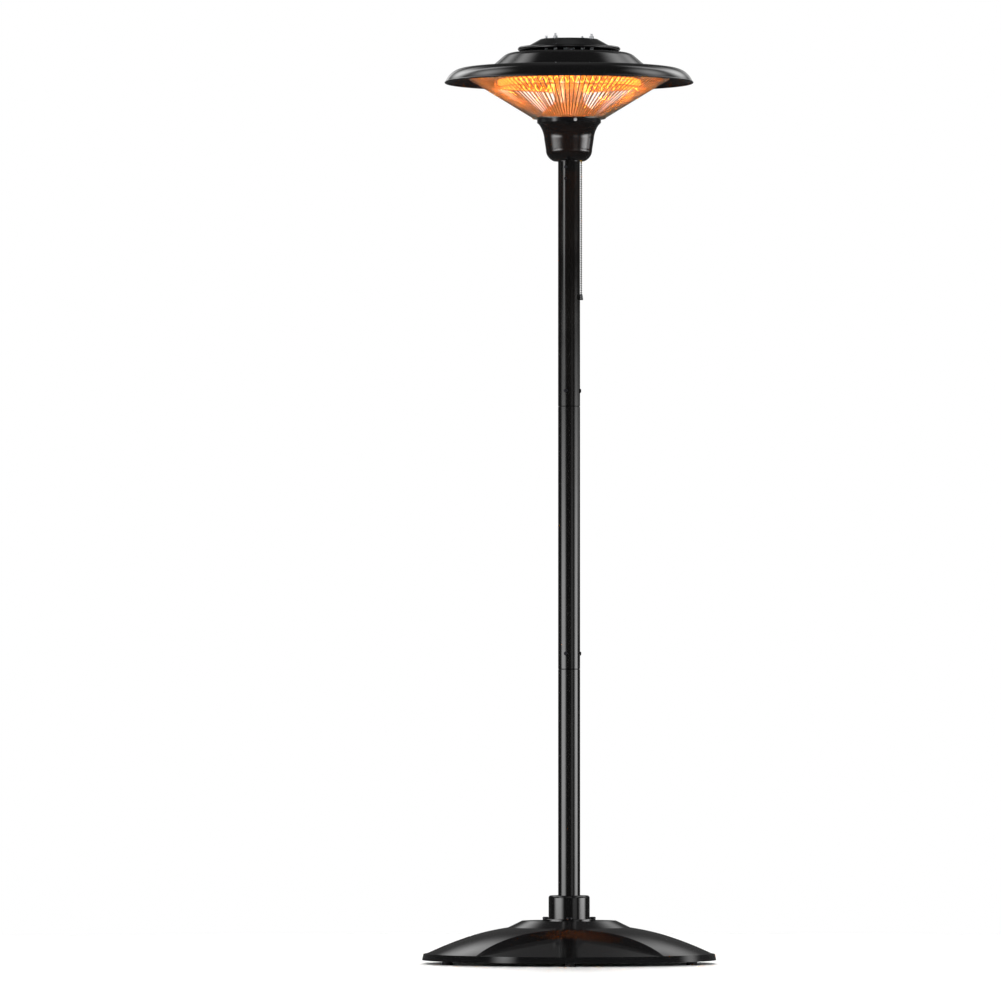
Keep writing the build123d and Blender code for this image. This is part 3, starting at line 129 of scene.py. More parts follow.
def add_node(tree: bpy.types.NodeTree, kind: str, inputs: dict | None = None, **settings) -> bpy.types.Node:
    """Add a node with its settings, values and links.

    Args:
        tree: The tree that gets the node.
        kind: Blender's type name of the node.
        inputs: Socket identifier, name or number to a value, or to the socket that feeds it.
        settings: The node's own properties.

    Returns:
        The new node.
    """
    node = tree.nodes.new(kind)
    for name, value in settings.items():
        setattr(node, name, value)
    for key, value in (inputs or {}).items():
        socket = next((s for s in node.inputs if s.identifier == key), None) or node.inputs[key]
        if isinstance(value, Socket):
            tree.links.new(value, socket)
        else:
            socket.default_value = value
    return node


def per_metre(millimetres: float) -> float:
    """Texture scale whose pattern repeats about every so many millimetres."""
    return 1 / (millimetres * MM)


def add_light(light: bpy.types.Light, *unseen: Ray) -> bpy.types.Object:
    """Put a light in the scene, hidden from some kinds of ray.

    Args:
        light: The light.
        unseen: The kinds of ray that don't meet it.

    Returns:
        The light's object.
    """
    place = bpy.data.objects.new(light.name, light)
    bpy.context.scene.collection.objects.link(place)
    for ray in unseen:
        setattr(place, ray.value, False)
    return place


# ---- Finishes ------------------------------------------------------------------------------------


@dataclass(frozen=True)
class Finish:
    """A real finish: its two near colours, its gloss and the fine relief of its surface.

    The relief's grain is real in depth and, where the real one is too fine to show, coarser in width.
    """

    name: str
    colour: str
    second_colour: str
    roughness: tuple[float, float]
    grain_mm: float
    grain_depth_mm: float
    patch_mm: float
    metallic: float = 0.0
    ior: float = 1.5
    coat: float = 0.0
    coat_roughness: float = 0.03
    stretch: tuple[float, float, float] = (1.0, 1.0, 1.0)

    def material(self) -> bpy.types.Material:
        """Build the material, once.

        Returns:
            The material of this finish.
        """
        made = bpy.data.materials.get(self.name)
        if made:
            return made
        made = bpy.data.materials.new(self.name)
        made.use_nodes = True
        tree = made.node_tree
        shader = next(n for n in tree.nodes if n.type == "BSDF_PRINCIPLED")
        shader.inputs["Metallic"].default_value = self.metallic
        if self.metallic < METAL_SHARE:
            shader.inputs["IOR"].default_value = self.ior
        shader.inputs["Coat Weight"].default_value = self.coat
        shader.inputs["Coat Roughness"].default_value = self.coat_roughness
        self.dress(tree, shader)
        return made

    def dress(self, tree: bpy.types.NodeTree, shader: bpy.types.Node) -> None:
        """Link colour, roughness and fine relief to the shader.

        Args:
            tree: The material's tree.
            shader: Its Principled shader.
        """
        place = add_node(tree, "ShaderNodeTexCoord").outputs["Object"]
        patches = add_node(
            tree,
            "ShaderNodeTexNoise",
            {"Vector": place, "Scale": per_metre(self.patch_mm), "Detail": 3.0},
        ).outputs["Fac"]
        first, second = PATCH_EDGES
        worn = add_node(
            tree, "ShaderNodeMapRange", {"Value": patches, "From Min": first, "From Max": second}
        ).outputs["Result"]
        colours = add_node(
            tree,
            "ShaderNodeMix",
            {"Factor_Float": worn, "A_Color": linear(self.colour), "B_Color": linear(self.second_colour)},
            data_type="RGBA",
        )
        tree.links.new(next(s for s in colours.outputs if s.type == "RGBA"), shader.inputs["Base Color"])
        low, high = self.roughness
        gloss = add_node(tree, "ShaderNodeMapRange", {"Value": worn, "To Min": low, "To Max": high})
        tree.links.new(gloss.outputs["Result"], shader.inputs["Roughness"])
        tree.links.new(self.grain(tree, place), shader.inputs["Normal"])

    def grain(self, tree: bpy.types.NodeTree, place: Socket) -> Socket:
        """Add the fine relief.

        Args:
            tree: The material's tree.
            place: The socket of the surface point.

        Returns:
            The socket of the roughened normal.
        """
        stretched = add_node(tree, "ShaderNodeMapping", {"Vector": place, "Scale": self.stretch})
        noise = add_node(
            tree,
            "ShaderNodeTexNoise",
            {"Vector": stretched.outputs["Vector"], "Scale": per_metre(self.grain_mm), "Detail": 2.0},
        )
        return add_node(
            tree,
            "ShaderNodeBump",
            {"Height": noise.outputs["Fac"], "Strength": 1.0, "Distance": self.grain_depth_mm * MM},
        ).outputs["Normal"]


@dataclass(frozen=True)
class SpunMetal(Finish):
    """Bright metal spun on a lathe: fine rings round the part's axis stretch the light."""

    ring_mm: float = 1.6
    ring_depth_mm: float = 0.004

    def grain(self, tree: bpy.types.NodeTree, place: Socket) -> Socket:
        """Add the lathe's rings to the fine relief.

        Args:
            tree: The material's tree.
            place: The socket of the surface point.

        Returns:
            The socket of the ringed normal.
        """
        # A wave texture of scale 1 has about 20 / (2 pi) rings a metre
        rings = add_node(
            tree,
            "ShaderNodeTexWave",
            {
                "Vector": place,
                "Scale": per_metre(self.ring_mm) * math.tau / 20,
                "Distortion": 0.6,
                "Detail": 1.0,
            },
            wave_type="RINGS",
            rings_direction="Z",
        )
        return add_node(
            tree,
            "ShaderNodeBump",
            {
                "Height": rings.outputs["Fac"],
                "Strength": 1.0,
                "Distance": self.ring_depth_mm * MM,
                "Normal": super().grain(tree, place),
            },
        ).outputs["Normal"]


@dataclass(frozen=True)
class Glowing(Finish):
    """A hot thing: it gives its own light, a little uneven from place to place."""

    glow: str = "#ffa63c"
    strength: float = 3.4
    clearness: float = 0.0

    def dress(self, tree: bpy.types.NodeTree, shader: bpy.types.Node) -> None:
        """Add the glow to the plain finish.

        Args:
            tree: The material's tree.
            shader: Its Principled shader.
        """
        super().dress(tree, shader)
        shader.inputs["Emission Color"].default_value = linear(self.glow)
        shader.inputs["Emission Strength"].default_value = self.strength
        shader.inputs["Transmission Weight"].default_value = self.clearness

FINISHES: dict[Slot, Finish] = {
    # Powder coat on pressed steel, sprayed and baked: deep black gloss with a faint orange peel
    Slot.GLOSS_BLACK: Finish(
        "gloss_black_powder_coat", "#0b0b0c", "#0f0f10", roughness=(0.11, 0.17),
        grain_mm=3.2, grain_depth_mm=0.0022, patch_mm=90.0, coat=0.2,
    ),
    # Stove enamel on drawn steel tube: gloss black, its faint ripple drawn out along the tube
    Slot.POLE_BLACK: Finish(
        "gloss_black_tube_enamel", "#0b0a0a", "#100f0e", roughness=(0.09, 0.14),
        grain_mm=5.0, grain_depth_mm=0.0012, patch_mm=70.0, stretch=(1.0, 1.0, 0.12),
    ),
    # Black zinc plate on pressed screws: dark satin with paler rubbed places
    Slot.DARK_SCREW: Finish(
        "black_zinc_plate", "#1b1b1d", "#34343a", roughness=(0.25, 0.4),
        grain_mm=0.8, grain_depth_mm=0.004, patch_mm=4.0, metallic=0.8,
    ),
    # Bright zinc plate on rolled and pressed steel: cool silver, slightly clouded
    Slot.ZINC: Finish(
        "bright_zinc_plate", "#e4e6e9", "#d0d3d8", roughness=(0.34, 0.48),
        grain_mm=0.7, grain_depth_mm=0.003, patch_mm=6.0, metallic=0.4,
    ),
    # Chrome on drawn steel wire and strip: bright, the heat's faint straw tint in places
    Slot.CHROME: Finish(
        "chrome_plated_wire", "#c9c2b6", "#bda98a", roughness=(0.14, 0.24),
        grain_mm=0.9, grain_depth_mm=0.002, patch_mm=25.0, metallic=0.85,
    ),
    # Spun and polished aluminium: bright, with fine lathe rings; its warm straw colour is painted orange
    # light from the lamp
    Slot.ALUMINIUM: SpunMetal(
        "polished_spun_aluminium", "#ebe0cc", "#dccdb2", roughness=(0.16, 0.26),
        grain_mm=1.6, grain_depth_mm=0.002, patch_mm=30.0, metallic=0.86,
    ),
    # Clear fused quartz, drawn: glows amber from the wire inside it
    Slot.QUARTZ: Glowing(
        "drawn_fused_quartz", "#f4f6f8", "#e8ecf0", roughness=(0.03, 0.06),
        grain_mm=6.0, grain_depth_mm=0.001, patch_mm=20.0, ior=1.46,
        glow="#ff7a10", strength=0.24, clearness=1.0,
    ),
    # Iron-chromium heating wire at working heat: yellow-white, duller where the turns lie close
    Slot.FILAMENT: Glowing(
        "glowing_heating_wire", "#d9822b", "#b85f1b", roughness=(0.5, 0.6),
        grain_mm=0.6, grain_depth_mm=0.004, patch_mm=8.0, metallic=0.3,
        glow="#ffa63c", strength=3.4,
    ),
    # Pressed and fired steatite: off-white and matt
    Slot.CERAMIC: Finish(
        "fired_steatite", "#e9e4d8", "#d8d1c2", roughness=(0.42, 0.6),
        grain_mm=0.5, grain_depth_mm=0.02, patch_mm=6.0,
    ),
    # Moulded rubber: matt black, slightly grey where rubbed
    Slot.RUBBER: Finish(
        "moulded_rubber", "#131313", "#1f1f1e", roughness=(0.62, 0.8),
        grain_mm=0.5, grain_depth_mm=0.02, patch_mm=8.0,
    ),
    # Injection-moulded ABS with a fine spark texture: satin black
    Slot.BLACK_PLASTIC: Finish(
        "moulded_black_abs", "#121213", "#191919", roughness=(0.34, 0.46),
        grain_mm=0.4, grain_depth_mm=0.015, patch_mm=10.0,
    ),
    # Moulded urea resin of terminal blocks and switches: creamy, with a soft shine
    Slot.IVORY_PLASTIC: Finish(
        "moulded_ivory_resin", "#e3dcc6", "#d5ccb2", roughness=(0.35, 0.5),
        grain_mm=0.6, grain_depth_mm=0.01, patch_mm=8.0,
    ),
    # Turned brass: warm yellow, a little dulled in places
    Slot.BRASS: Finish(
        "turned_brass", "#c9a24a", "#b08a38", roughness=(0.2, 0.34),
        grain_mm=0.6, grain_depth_mm=0.004, patch_mm=5.0, metallic=1.0,
    ),
    # Cast cement, trowelled: pale grey, rough and dusty
    Slot.CEMENT: Finish(
        "cast_cement", "#8b8985", "#76746f", roughness=(0.82, 0.95),
        grain_mm=1.8, grain_depth_mm=0.25, patch_mm=18.0,
    ),
    # Extruded PVC cable sheath: smooth dull black
    Slot.SHEATH: Finish(
        "extruded_pvc_sheath", "#171717", "#222222", roughness=(0.4, 0.55),
        grain_mm=1.0, grain_depth_mm=0.01, patch_mm=10.0,
    ),
    # Nickel plate on pressed bead chain: grey, with a small glint on each bead
    Slot.CHAIN: Finish(
        "nickel_bead_chain", "#8f9092", "#6f7073", roughness=(0.16, 0.3),
        grain_mm=0.6, grain_depth_mm=0.002, patch_mm=5.0, metallic=1.0,
    ),
}


# ---- Shape trees ---------------------------------------------------------------------------------


class ShapeTree:
    """A Geometry Nodes tree with named sizes that makes one piece's mesh."""

    def __init__(self, name: str, sizes: dict[str, float | int]) -> None:
        """Start the tree with one named input for each size.

        Args:
            name: The piece's name.
            sizes: Input name to its value: lengths in metres, angles in radians, counts as int.
        """
        self.name = name
        self.sizes = sizes
        self.tree = bpy.data.node_groups.new(name, "GeometryNodeTree")
        for label, value in sizes.items():
            kind = "NodeSocketInt" if isinstance(value, int) else "NodeSocketFloat"
            self.tree.interface.new_socket(label, in_out="INPUT", socket_type=kind)
        self.tree.interface.new_socket("Geometry", in_out="OUTPUT", socket_type="NodeSocketGeometry")
        self.given = self.tree.nodes.new("NodeGroupInput")

    def size(self, label: str) -> Socket:
        """Socket of a named size."""
        return self.given.outputs[label]

    def node(self, kind: str, inputs: dict | None = None, **settings) -> bpy.types.Node:
        """Add a node to this tree."""
        return add_node(self.tree, kind, inputs, **settings)

    def sum(self, operation: str, *terms: Number) -> Socket:
        """Work out one number from others.

        Args:
            operation: Blender's name of the Math operation.
            terms: Sockets or plain numbers, in order.

        Returns:
            The socket of the result.
        """
        return self.node("ShaderNodeMath", dict(enumerate(terms)), operation=operation).outputs[0]

    def point(self, x: Number, y: Number, z: Number) -> Socket:
        """Socket of a point from its three coordinates."""
        return self.node("ShaderNodeCombineXYZ", {0: x, 1: y, 2: z}).outputs[0]

    def profile_point(self, radius: str, height: str) -> Socket:
        """Socket of the XZ plane's point at a named radius and a named height."""
        return self.point(self.size(radius), 0.0, self.size(height))

    def straight(self, start: Socket, end: Socket) -> Socket:
        """Socket of the straight curve between two points."""
        return self.node("GeometryNodeCurvePrimitiveLine", {"Start": start, "End": end}).outputs["Curve"]

    def circle(self, radius: Socket, sides: int) -> Socket:
        """Socket of a closed round curve about the Z axis."""
        return self.node(
            "GeometryNodeCurvePrimitiveCircle", {"Resolution": sides, "Radius": radius}, mode="RADIUS"
        ).outputs["Curve"]

    def merged(self, shape: Socket) -> Socket:
        """Socket of the geometry with its doubled points made one."""
        return self.node(
            "GeometryNodeMergeByDistance", {"Geometry": shape, "Distance": MERGE_GAP}
        ).outputs["Geometry"]

    def winding(self) -> tuple[Socket, Socket, Socket]:
        """Lay out the points of a wound wire with the named sizes Turns and Steps a Turn.

        Returns:
            The row of points, each point's share of the whole wire, and its angle round the coil.
        """
        steps = self.sum("MULTIPLY", self.size("Turns"), self.size("Steps a Turn"))
        row = self.node("GeometryNodeMeshLine", {"Count": self.sum("ADD", steps, 1.0)}).outputs["Mesh"]
        share = self.sum("DIVIDE", self.node("GeometryNodeInputIndex").outputs[0], steps)
        angle = self.sum("MULTIPLY", self.sum("MULTIPLY", share, self.size("Turns")), math.tau)
        return row, share, angle

    def wound_wire(self, row: Socket, place: Socket, sides: int) -> Socket:
        """Move a row of points to their places and run a wire of the named Wire Radius along them.

        Args:
            row: The row of points.
            place: Each point's place.
            sides: Faces round the wire.

        Returns:
            The socket of the wire's mesh.
        """
        wound = self.node("GeometryNodeSetPosition", {"Geometry": row, "Position": place}).outputs["Geometry"]
        curve = self.node("GeometryNodeMeshToCurve", {"Mesh": wound}).outputs["Curve"]
        return self.round_wire(curve, self.size("Wire Radius"), sides)

    def round_wire(self, line: Socket, radius: Socket, sides: int) -> Socket:
        """Give a curve a round wire's body with closed ends.

        Args:
            line: The curve along the wire's middle.
            radius: The wire's radius.
            sides: Faces round the wire.

        Returns:
            The socket of the wire's mesh.
        """
        return self.node(
            "GeometryNodeCurveToMesh",
            {"Curve": line, "Profile Curve": self.circle(radius, sides), "Fill Caps": True},
        ).outputs["Mesh"]

    def turned(self, profile: Socket, steps: int, looped: bool = False) -> Socket:
        """Turn a profile in the XZ plane about the Z axis.

        Args:
            profile: The profile's curve, from its first point to its last.
            steps: Faces round the turn.
            looped: Whether the profile's last point joins its first.

        Returns:
            The socket of the turned mesh.
        """
        edge = self.node("GeometryNodeCurveToMesh", {"Curve": profile}).outputs["Mesh"]
        count = self.node("GeometryNodeAttributeDomainSize", {"Geometry": edge}).outputs["Point Count"]
        rows = self.sum("ADD", count, 1.0 if looped else 0.0)
        sheet = self.node(
            "GeometryNodeMeshGrid", {"Vertices X": rows, "Vertices Y": steps + 1}
        ).outputs["Mesh"]
        # The grid's points count up along its rows, and each row is one turn of a profile point
        index = self.node("GeometryNodeInputIndex").outputs[0]
        row = self.sum("FLOOR", self.sum("DIVIDE", self.sum("ADD", index, 0.5), steps + 1))
        station = self.sum("MODULO", row, count)
        turn = self.sum("MULTIPLY", self.sum("MODULO", index, steps + 1), math.tau / steps)
        along = self.node(
            "GeometryNodeSampleIndex",
            {"Geometry": edge, "Value": self.node("GeometryNodeInputPosition").outputs[0], "Index": station},
            data_type="FLOAT_VECTOR",
        ).outputs["Value"]
        place = self.node(
            "ShaderNodeVectorRotate", {"Vector": along, "Angle": turn}, rotation_type="Z_AXIS"
        ).outputs["Vector"]
        moved = self.node("GeometryNodeSetPosition", {"Geometry": sheet, "Position": place})
        return self.merged(moved.outputs["Geometry"])

    def walled(self, sheet: Socket, wall: Socket) -> Socket:
        """Give an open sheet a wall on the side away from its faces.

        Args:
            sheet: The sheet's mesh.
            wall: The wall's thickness.

        Returns:
            The socket of the closed sheet.
        """
        inner = self.node(
            "GeometryNodeExtrudeMesh",
            {"Mesh": sheet, "Offset Scale": self.sum("MULTIPLY", wall, -1.0), "Individual": False},
        ).outputs["Mesh"]
        return self.merged(self.joined(sheet, inner))

    def joined(self, *pieces: Socket) -> Socket:
        """Put several pieces of geometry together.

        Args:
            pieces: The sockets of the pieces.

        Returns:
            The socket of them all.
        """
        join = self.node("GeometryNodeJoinGeometry")
        for piece in pieces:
            self.tree.links.new(piece, join.inputs[0])
        return join.outputs["Geometry"]

    def mesh(
        self, shape: Socket, material: bpy.types.Material, smooth: bool = True
    ) -> bpy.types.Object:
        """End the tree and turn its result into an object with a plain mesh.

        Args:
            shape: The finished geometry.
            material: The piece's material.
            smooth: Whether its faces are shaded smooth.

        Returns:
            The piece at the origin, unturned and unscaled.
        """
        real = self.node("GeometryNodeRealizeInstances", {"Geometry": shape}).outputs["Geometry"]
        shaded = self.node("GeometryNodeSetShadeSmooth", {"Geometry": real, "Shade Smooth": smooth})
        dressed = self.node("GeometryNodeSetMaterial", {"Geometry": shaded.outputs[0], "Material": material})
        out = self.tree.nodes.new("NodeGroupOutput")
        self.tree.links.new(dressed.outputs["Geometry"], out.inputs[0])
        piece = bpy.data.objects.new(self.name, bpy.data.meshes.new(self.name))
        bpy.context.scene.collection.objects.link(piece)
        maker = piece.modifiers.new("shape", "NODES")
        maker.node_group = self.tree
        for item in self.tree.interface.items_tree:
            if item.in_out == "INPUT" and item.name in self.sizes:
                maker[item.identifier] = self.sizes[item.name]
        made = bpy.data.meshes.new_from_object(piece.evaluated_get(bpy.context.evaluated_depsgraph_get()))
        piece.modifiers.clear()
        clean = bmesh.new()
        clean.from_mesh(made)
        bmesh.ops.recalc_face_normals(clean, faces=clean.faces)
        clean.to_mesh(made)
        clean.free()
        piece.data = made
        made.name = self.name
        return piece


# ---- Sub-assemblies ------------------------------------------------------------------------------


@dataclass
class SubAssembly:
    """A group of the heater's pieces: carried-over nodes with their finishes, and pieces made here.

    Its sizes are in millimetres and its angles in degrees.
    """

    finishes: dict[Slot, tuple[str, ...]] = field(default_factory=dict)

    def build(self) -> None:
        """Make the pieces that replace nodes; a plain group makes none."""

    def dress(self, nodes: dict[str, bpy.types.Object]) -> None:
        """Give every carried-over node of the group the finish of its slot.

        Args:
            nodes: The frame's objects by node name.
        """
        for slot, names in self.finishes.items():
            material = FINISHES[slot].material()
            for name in names:
                node = nodes[name]
                node.data.materials.clear()
                node.data.materials.append(material)
                log.info("%s: %s", name, material.name)

    def place(self, piece: bpy.types.Object, slot: Slot, body: Body, replaced: str) -> None:
        """Tie a finished piece to its body, and hide the node that it stands for.

        Args:
            piece: The piece.
            slot: The slot of its finish; not used.
            body: The body that carries it.
            replaced: The name of the node it stands for.
        """
        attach(piece, body.value)
        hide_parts(replaced)
        log.info("%s: %d faces", piece.name, len(piece.data.polygons))


@dataclass
class Base(SubAssembly):
    """Pressed cover on six rubber feet, with the weight, the pole's seat and the cord's gland."""

    finishes: dict[Slot, tuple[str, ...]] = field(
        default_factory=lambda: {
            Slot.GLOSS_BLACK: ("base_cover", "base_flange", "pole_collar"),
            Slot.DARK_SCREW: ("flange_bolts",),
            Slot.ZINC: ("base_bottom_plate", "pole_socket", "flange_nuts", "feet_screws"),
            Slot.RUBBER: ("base_feet", "cord_gland"),
            Slot.CEMENT: ("base_weight",),
            Slot.SHEATH: ("supply_cable",),
        }
    )


@dataclass
class Pole(SubAssembly):
    """Three enamelled tubes with the screws of their joints."""

    finishes: dict[Slot, tuple[str, ...]] = field(
        default_factory=lambda: {
            Slot.POLE_BLACK: ("lower_tube", "middle_tube", "upper_tube"),
            Slot.DARK_SCREW: ("lower_joint_screws", "upper_joint_screws", "head_screws"),
            Slot.ZINC: ("head_stem",),
        }
    )


@dataclass
class SwitchHousing(SubAssembly):
    """Bell housing with the pull switch, the terminal block, the cut-out and the tip-over switch."""

    finishes: dict[Slot, tuple[str, ...]] = field(
        default_factory=lambda: {
            Slot.GLOSS_BLACK: ("switch_housing", "housing_lid"),
            Slot.ZINC: (
                "housing_screws", "lower_rod_nut", "switch_pin", "terminal_bracket", "thermal_cutout"
            ),
            Slot.BLACK_PLASTIC: ("tip_over_switch", "switch_lever"),
            Slot.IVORY_PLASTIC: ("pull_switch_body", "terminal_block"),
            Slot.BRASS: ("chain_bush", "pull_rod"),
            Slot.SHEATH: ("riser_cable",),
        }
    )
    spring_x: float = 21.111
    spring_y: float = -9.621
    spring_foot_z: float = 1388.7
    spring_length: float = 20.5
    spring_radius: float = 2.3
    spring_wire: float = 0.4
    spring_turns: int = 7
    steps_a_turn: int = 16
    wire_sides: int = 8
    pressed_share: float = 0.5

    def build(self) -> None:
        """Make the switch's return spring, which the pull rod presses together; here it keeps one length."""
        shape = ShapeTree(
            "pull_spring",
            {
                "Spring X": self.spring_x * MM,
                "Spring Y": self.spring_y * MM,
                "Foot": (self.spring_foot_z + self.spring_wire) * MM,
                "Rise": (self.spring_length - 2 * self.spring_wire) * MM,
                "Spring Radius": self.spring_radius * MM,
                "Wire Radius": self.spring_wire * MM,
                "Turns": self.spring_turns,
                "Steps a Turn": self.steps_a_turn,
            },
        )
        row, share, turn = shape.winding()
        radius = shape.size("Spring Radius")
        place = shape.point(
            shape.sum("MULTIPLY_ADD", shape.sum("COSINE", turn), radius, shape.size("Spring X")),
            shape.sum("MULTIPLY_ADD", shape.sum("SINE", turn), radius, shape.size("Spring Y")),
            shape.sum("MULTIPLY_ADD", share, shape.size("Rise"), shape.size("Foot")),
        )
        spring = shape.mesh(shape.wound_wire(row, place, self.wire_sides), FINISHES[Slot.ZINC].material())
        self.place(spring, Slot.ZINC, Body.STAND, "return_spring")
        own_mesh(spring)


@dataclass
class PullChain(SubAssembly):
    """Bead chain with its pendant, hanging at the front's right."""

    finishes: dict[Slot, tuple[str, ...]] = field(default_factory=lambda: {Slot.CHAIN: ("pull_pendant",)})
    chain_x: float = 21.111
    chain_y: float = -9.621
    swing_z: float = 1382.5
    link_top_z: float = 1380.65
    bead_radius: float = 1.6
    bead_pitch: float = 4.0
    bead_count: int = 56
    bead_segments: int = 12
    bead_rings: int = 7
    link_radius: float = 0.5
    link_sides: int = 8
    link_end_share: float = 0.45

    def build(self) -> None:
        """Make the row of beads and the fine link that runs through them.

        Past the last bead, the link goes on for a share of the beads' pitch, into the pendant.
        """
        link_pitches = self.bead_count + self.link_end_share
        shape = ShapeTree(
            "bead_chain",
            {
                "Bead Radius": self.bead_radius * MM,
                "Bead Pitch": self.bead_pitch * MM,
                "Bead Count": self.bead_count,
                "Link Radius": self.link_radius * MM,
                "Top Bead": (self.swing_z - self.bead_pitch) * MM,
                "Link Top": self.link_top_z * MM,
                "Link Bottom": (self.swing_z - link_pitches * self.bead_pitch) * MM,
                "Chain X": self.chain_x * MM,
                "Chain Y": self.chain_y * MM,
            },
        )
        x, y = shape.size("Chain X"), shape.size("Chain Y")
        row = shape.node(
            "GeometryNodeMeshLine",
            {
                "Count": shape.size("Bead Count"),
                "Start Location": shape.point(x, y, shape.size("Top Bead")),
                "Offset": shape.point(0.0, 0.0, shape.sum("MULTIPLY", shape.size("Bead Pitch"), -1.0)),
            },
            mode="OFFSET",
        )
        bead = shape.node(
            "GeometryNodeMeshUVSphere",
            {"Segments": self.bead_segments, "Rings": self.bead_rings, "Radius": shape.size("Bead Radius")},
        )
        beads = shape.node(
            "GeometryNodeInstanceOnPoints", {"Points": row.outputs["Mesh"], "Instance": bead.outputs["Mesh"]}
        )
        thread = shape.straight(
            shape.point(x, y, shape.size("Link Bottom")), shape.point(x, y, shape.size("Link Top"))
        )
        link = shape.round_wire(thread, shape.size("Link Radius"), self.link_sides)
        chain = shape.mesh(shape.joined(beads.outputs["Instances"], link), FINISHES[Slot.CHAIN].material())
        self.place(chain, Slot.CHAIN, Body.CHAIN, "pull_chain")


@dataclass
class Guard(SubAssembly):
    """Cage of straight wires between the guard plate and the ring inside the shade."""

    finishes: dict[Slot, tuple[str, ...]] = field(
        default_factory=lambda: {
            Slot.CHROME: ("guard_ring", "guard_plate", "guard_hangers"),
            Slot.ALUMINIUM: ("heat_shield", "centre_column"),
            Slot.ZINC: ("centre_rod",),
        }
    )
    foot_radius: float = 62.5
    foot_z: float = 1461.7
    top_radius: float = 180.5
    top_z: float = 1533.8
    wire_radius: float = 1.0
    wire_count: int = 108
    wire_sides: int = 8
    weld_radius: float = 1.25
    weld_in: float = 0.35
    weld_subdivisions: int = 2

    def build(self) -> None:
        """Make the wires with the small beads of their spot welds."""
        shape = ShapeTree(
            "guard_cage",
            {
                "Foot Radius": self.foot_radius * MM,
                "Foot Height": self.foot_z * MM,
                "Top Radius": self.top_radius * MM,
                "Top Height": self.top_z * MM,
                "Wire Radius": self.wire_radius * MM,
                "Wire Count": self.wire_count,
                "Weld Radius": self.weld_radius * MM,
                "Weld In": self.weld_in * MM,
            },
        )
        line = shape.straight(
            shape.profile_point("Foot Radius", "Foot Height"), shape.profile_point("Top Radius", "Top Height")
        )
        wire = shape.round_wire(line, shape.size("Wire Radius"), self.wire_sides)
        weld = shape.node(
            "GeometryNodeMeshIcoSphere",
            {"Radius": shape.size("Weld Radius"), "Subdivisions": self.weld_subdivisions},
        )
        weld_radius = shape.sum("SUBTRACT", shape.size("Top Radius"), shape.size("Weld In"))
        weld_place = shape.point(weld_radius, 0.0, shape.size("Top Height"))
        bead = shape.node(
            "GeometryNodeTransform", {"Geometry": weld.outputs["Mesh"], "Translation": weld_place}
        ).outputs["Geometry"]
        # All the wires' points lie on the axis, and only the turn sets their wires apart
        spots = shape.node(
            "GeometryNodeMeshLine", {"Count": shape.size("Wire Count"), "Offset": (0.0, 0.0, 0.0)}
        )
        step = shape.sum("DIVIDE", math.tau, shape.size("Wire Count"))
        turn = shape.sum("MULTIPLY", shape.node("GeometryNodeInputIndex").outputs[0], step)
        cage = shape.node(
            "GeometryNodeInstanceOnPoints",
            {
                "Points": spots.outputs["Mesh"],
                "Instance": shape.joined(wire, bead),
                "Rotation": shape.point(0.0, 0.0, turn),
            },
        )
        piece = shape.mesh(cage.outputs["Instances"], FINISHES[Slot.CHROME].material())
        self.place(piece, Slot.CHROME, Body.STAND, "guard_wires")


@dataclass
class Lamp(SubAssembly):
    """Ring-shaped quartz tube with the coiled heating wire inside, its end caps and its clips."""

    finishes: dict[Slot, tuple[str, ...]] = field(
        default_factory=lambda: {
            Slot.QUARTZ: ("quartz_tube",),
            Slot.CERAMIC: ("lamp_end_caps",),
            Slot.CHROME: ("lamp_clips", "lamp_end_bracket"),
            Slot.SHEATH: ("lamp_leads",),
        }
    )
    ring_radius: float = 122.0
    ring_z: float = 1520.5
    coil_radius: float = 5.2
    wire_radius: float = 0.7
    wire_sides: int = 6
    turns: int = 56
    start_deg: float = 105.0
    arc_deg: float = 330.0
    steps_a_turn: int = 12
    glow_points: int = 10
    glow_drop: float = 11.44
    glow_watts: float = 0.95
    glow_colour: str = "#ff8a26"

    def build(self) -> None:
        """Make the heating wire, wound round the lamp's circle, and the light it gives."""
        shape = ShapeTree(
            "heating_wire",
            {
                "Ring Radius": self.ring_radius * MM,
                "Ring Height": self.ring_z * MM,
                "Coil Radius": self.coil_radius * MM,
                "Wire Radius": self.wire_radius * MM,
                "Turns": self.turns,
                "Steps a Turn": self.steps_a_turn,
                "Start": math.radians(self.start_deg),
                "Arc": math.radians(self.arc_deg),
            },
        )
        row, share, spin = shape.winding()
        around = shape.sum("MULTIPLY_ADD", share, shape.size("Arc"), shape.size("Start"))
        coil = shape.size("Coil Radius")
        out = shape.sum("MULTIPLY_ADD", shape.sum("COSINE", spin), coil, shape.size("Ring Radius"))
        up = shape.sum("MULTIPLY_ADD", shape.sum("SINE", spin), coil, shape.size("Ring Height"))
        place = shape.point(
            shape.sum("MULTIPLY", out, shape.sum("COSINE", around)),
            shape.sum("MULTIPLY", out, shape.sum("SINE", around)),
            up,
        )
        wire = shape.mesh(
            shape.wound_wire(row, place, self.wire_sides), FINISHES[Slot.FILAMENT].material()
        )
        self.glow()
        self.place(wire, Slot.FILAMENT, Body.STAND, "heating_coil")

    def glow(self) -> None:
        """Place the lamp's own light, as small soft lights along its circle, just under the tube."""
        for number in range(self.glow_points):
            turn = math.radians(self.start_deg + self.arc_deg * (number + 0.5) / self.glow_points)
            light = bpy.data.lights.new(f"lamp_glow_{number}", "POINT")
            light.energy = self.glow_watts
            light.color = linear(self.glow_colour)[:3]
            light.shadow_soft_size = self.coil_radius * MM
            add_light(light, Ray.CAMERA, Ray.GLOSS, Ray.GLASS).location = (
                self.ring_radius * MM * math.cos(turn),
                self.ring_radius * MM * math.sin(turn),
                (self.ring_z - self.glow_drop) * MM,
            )


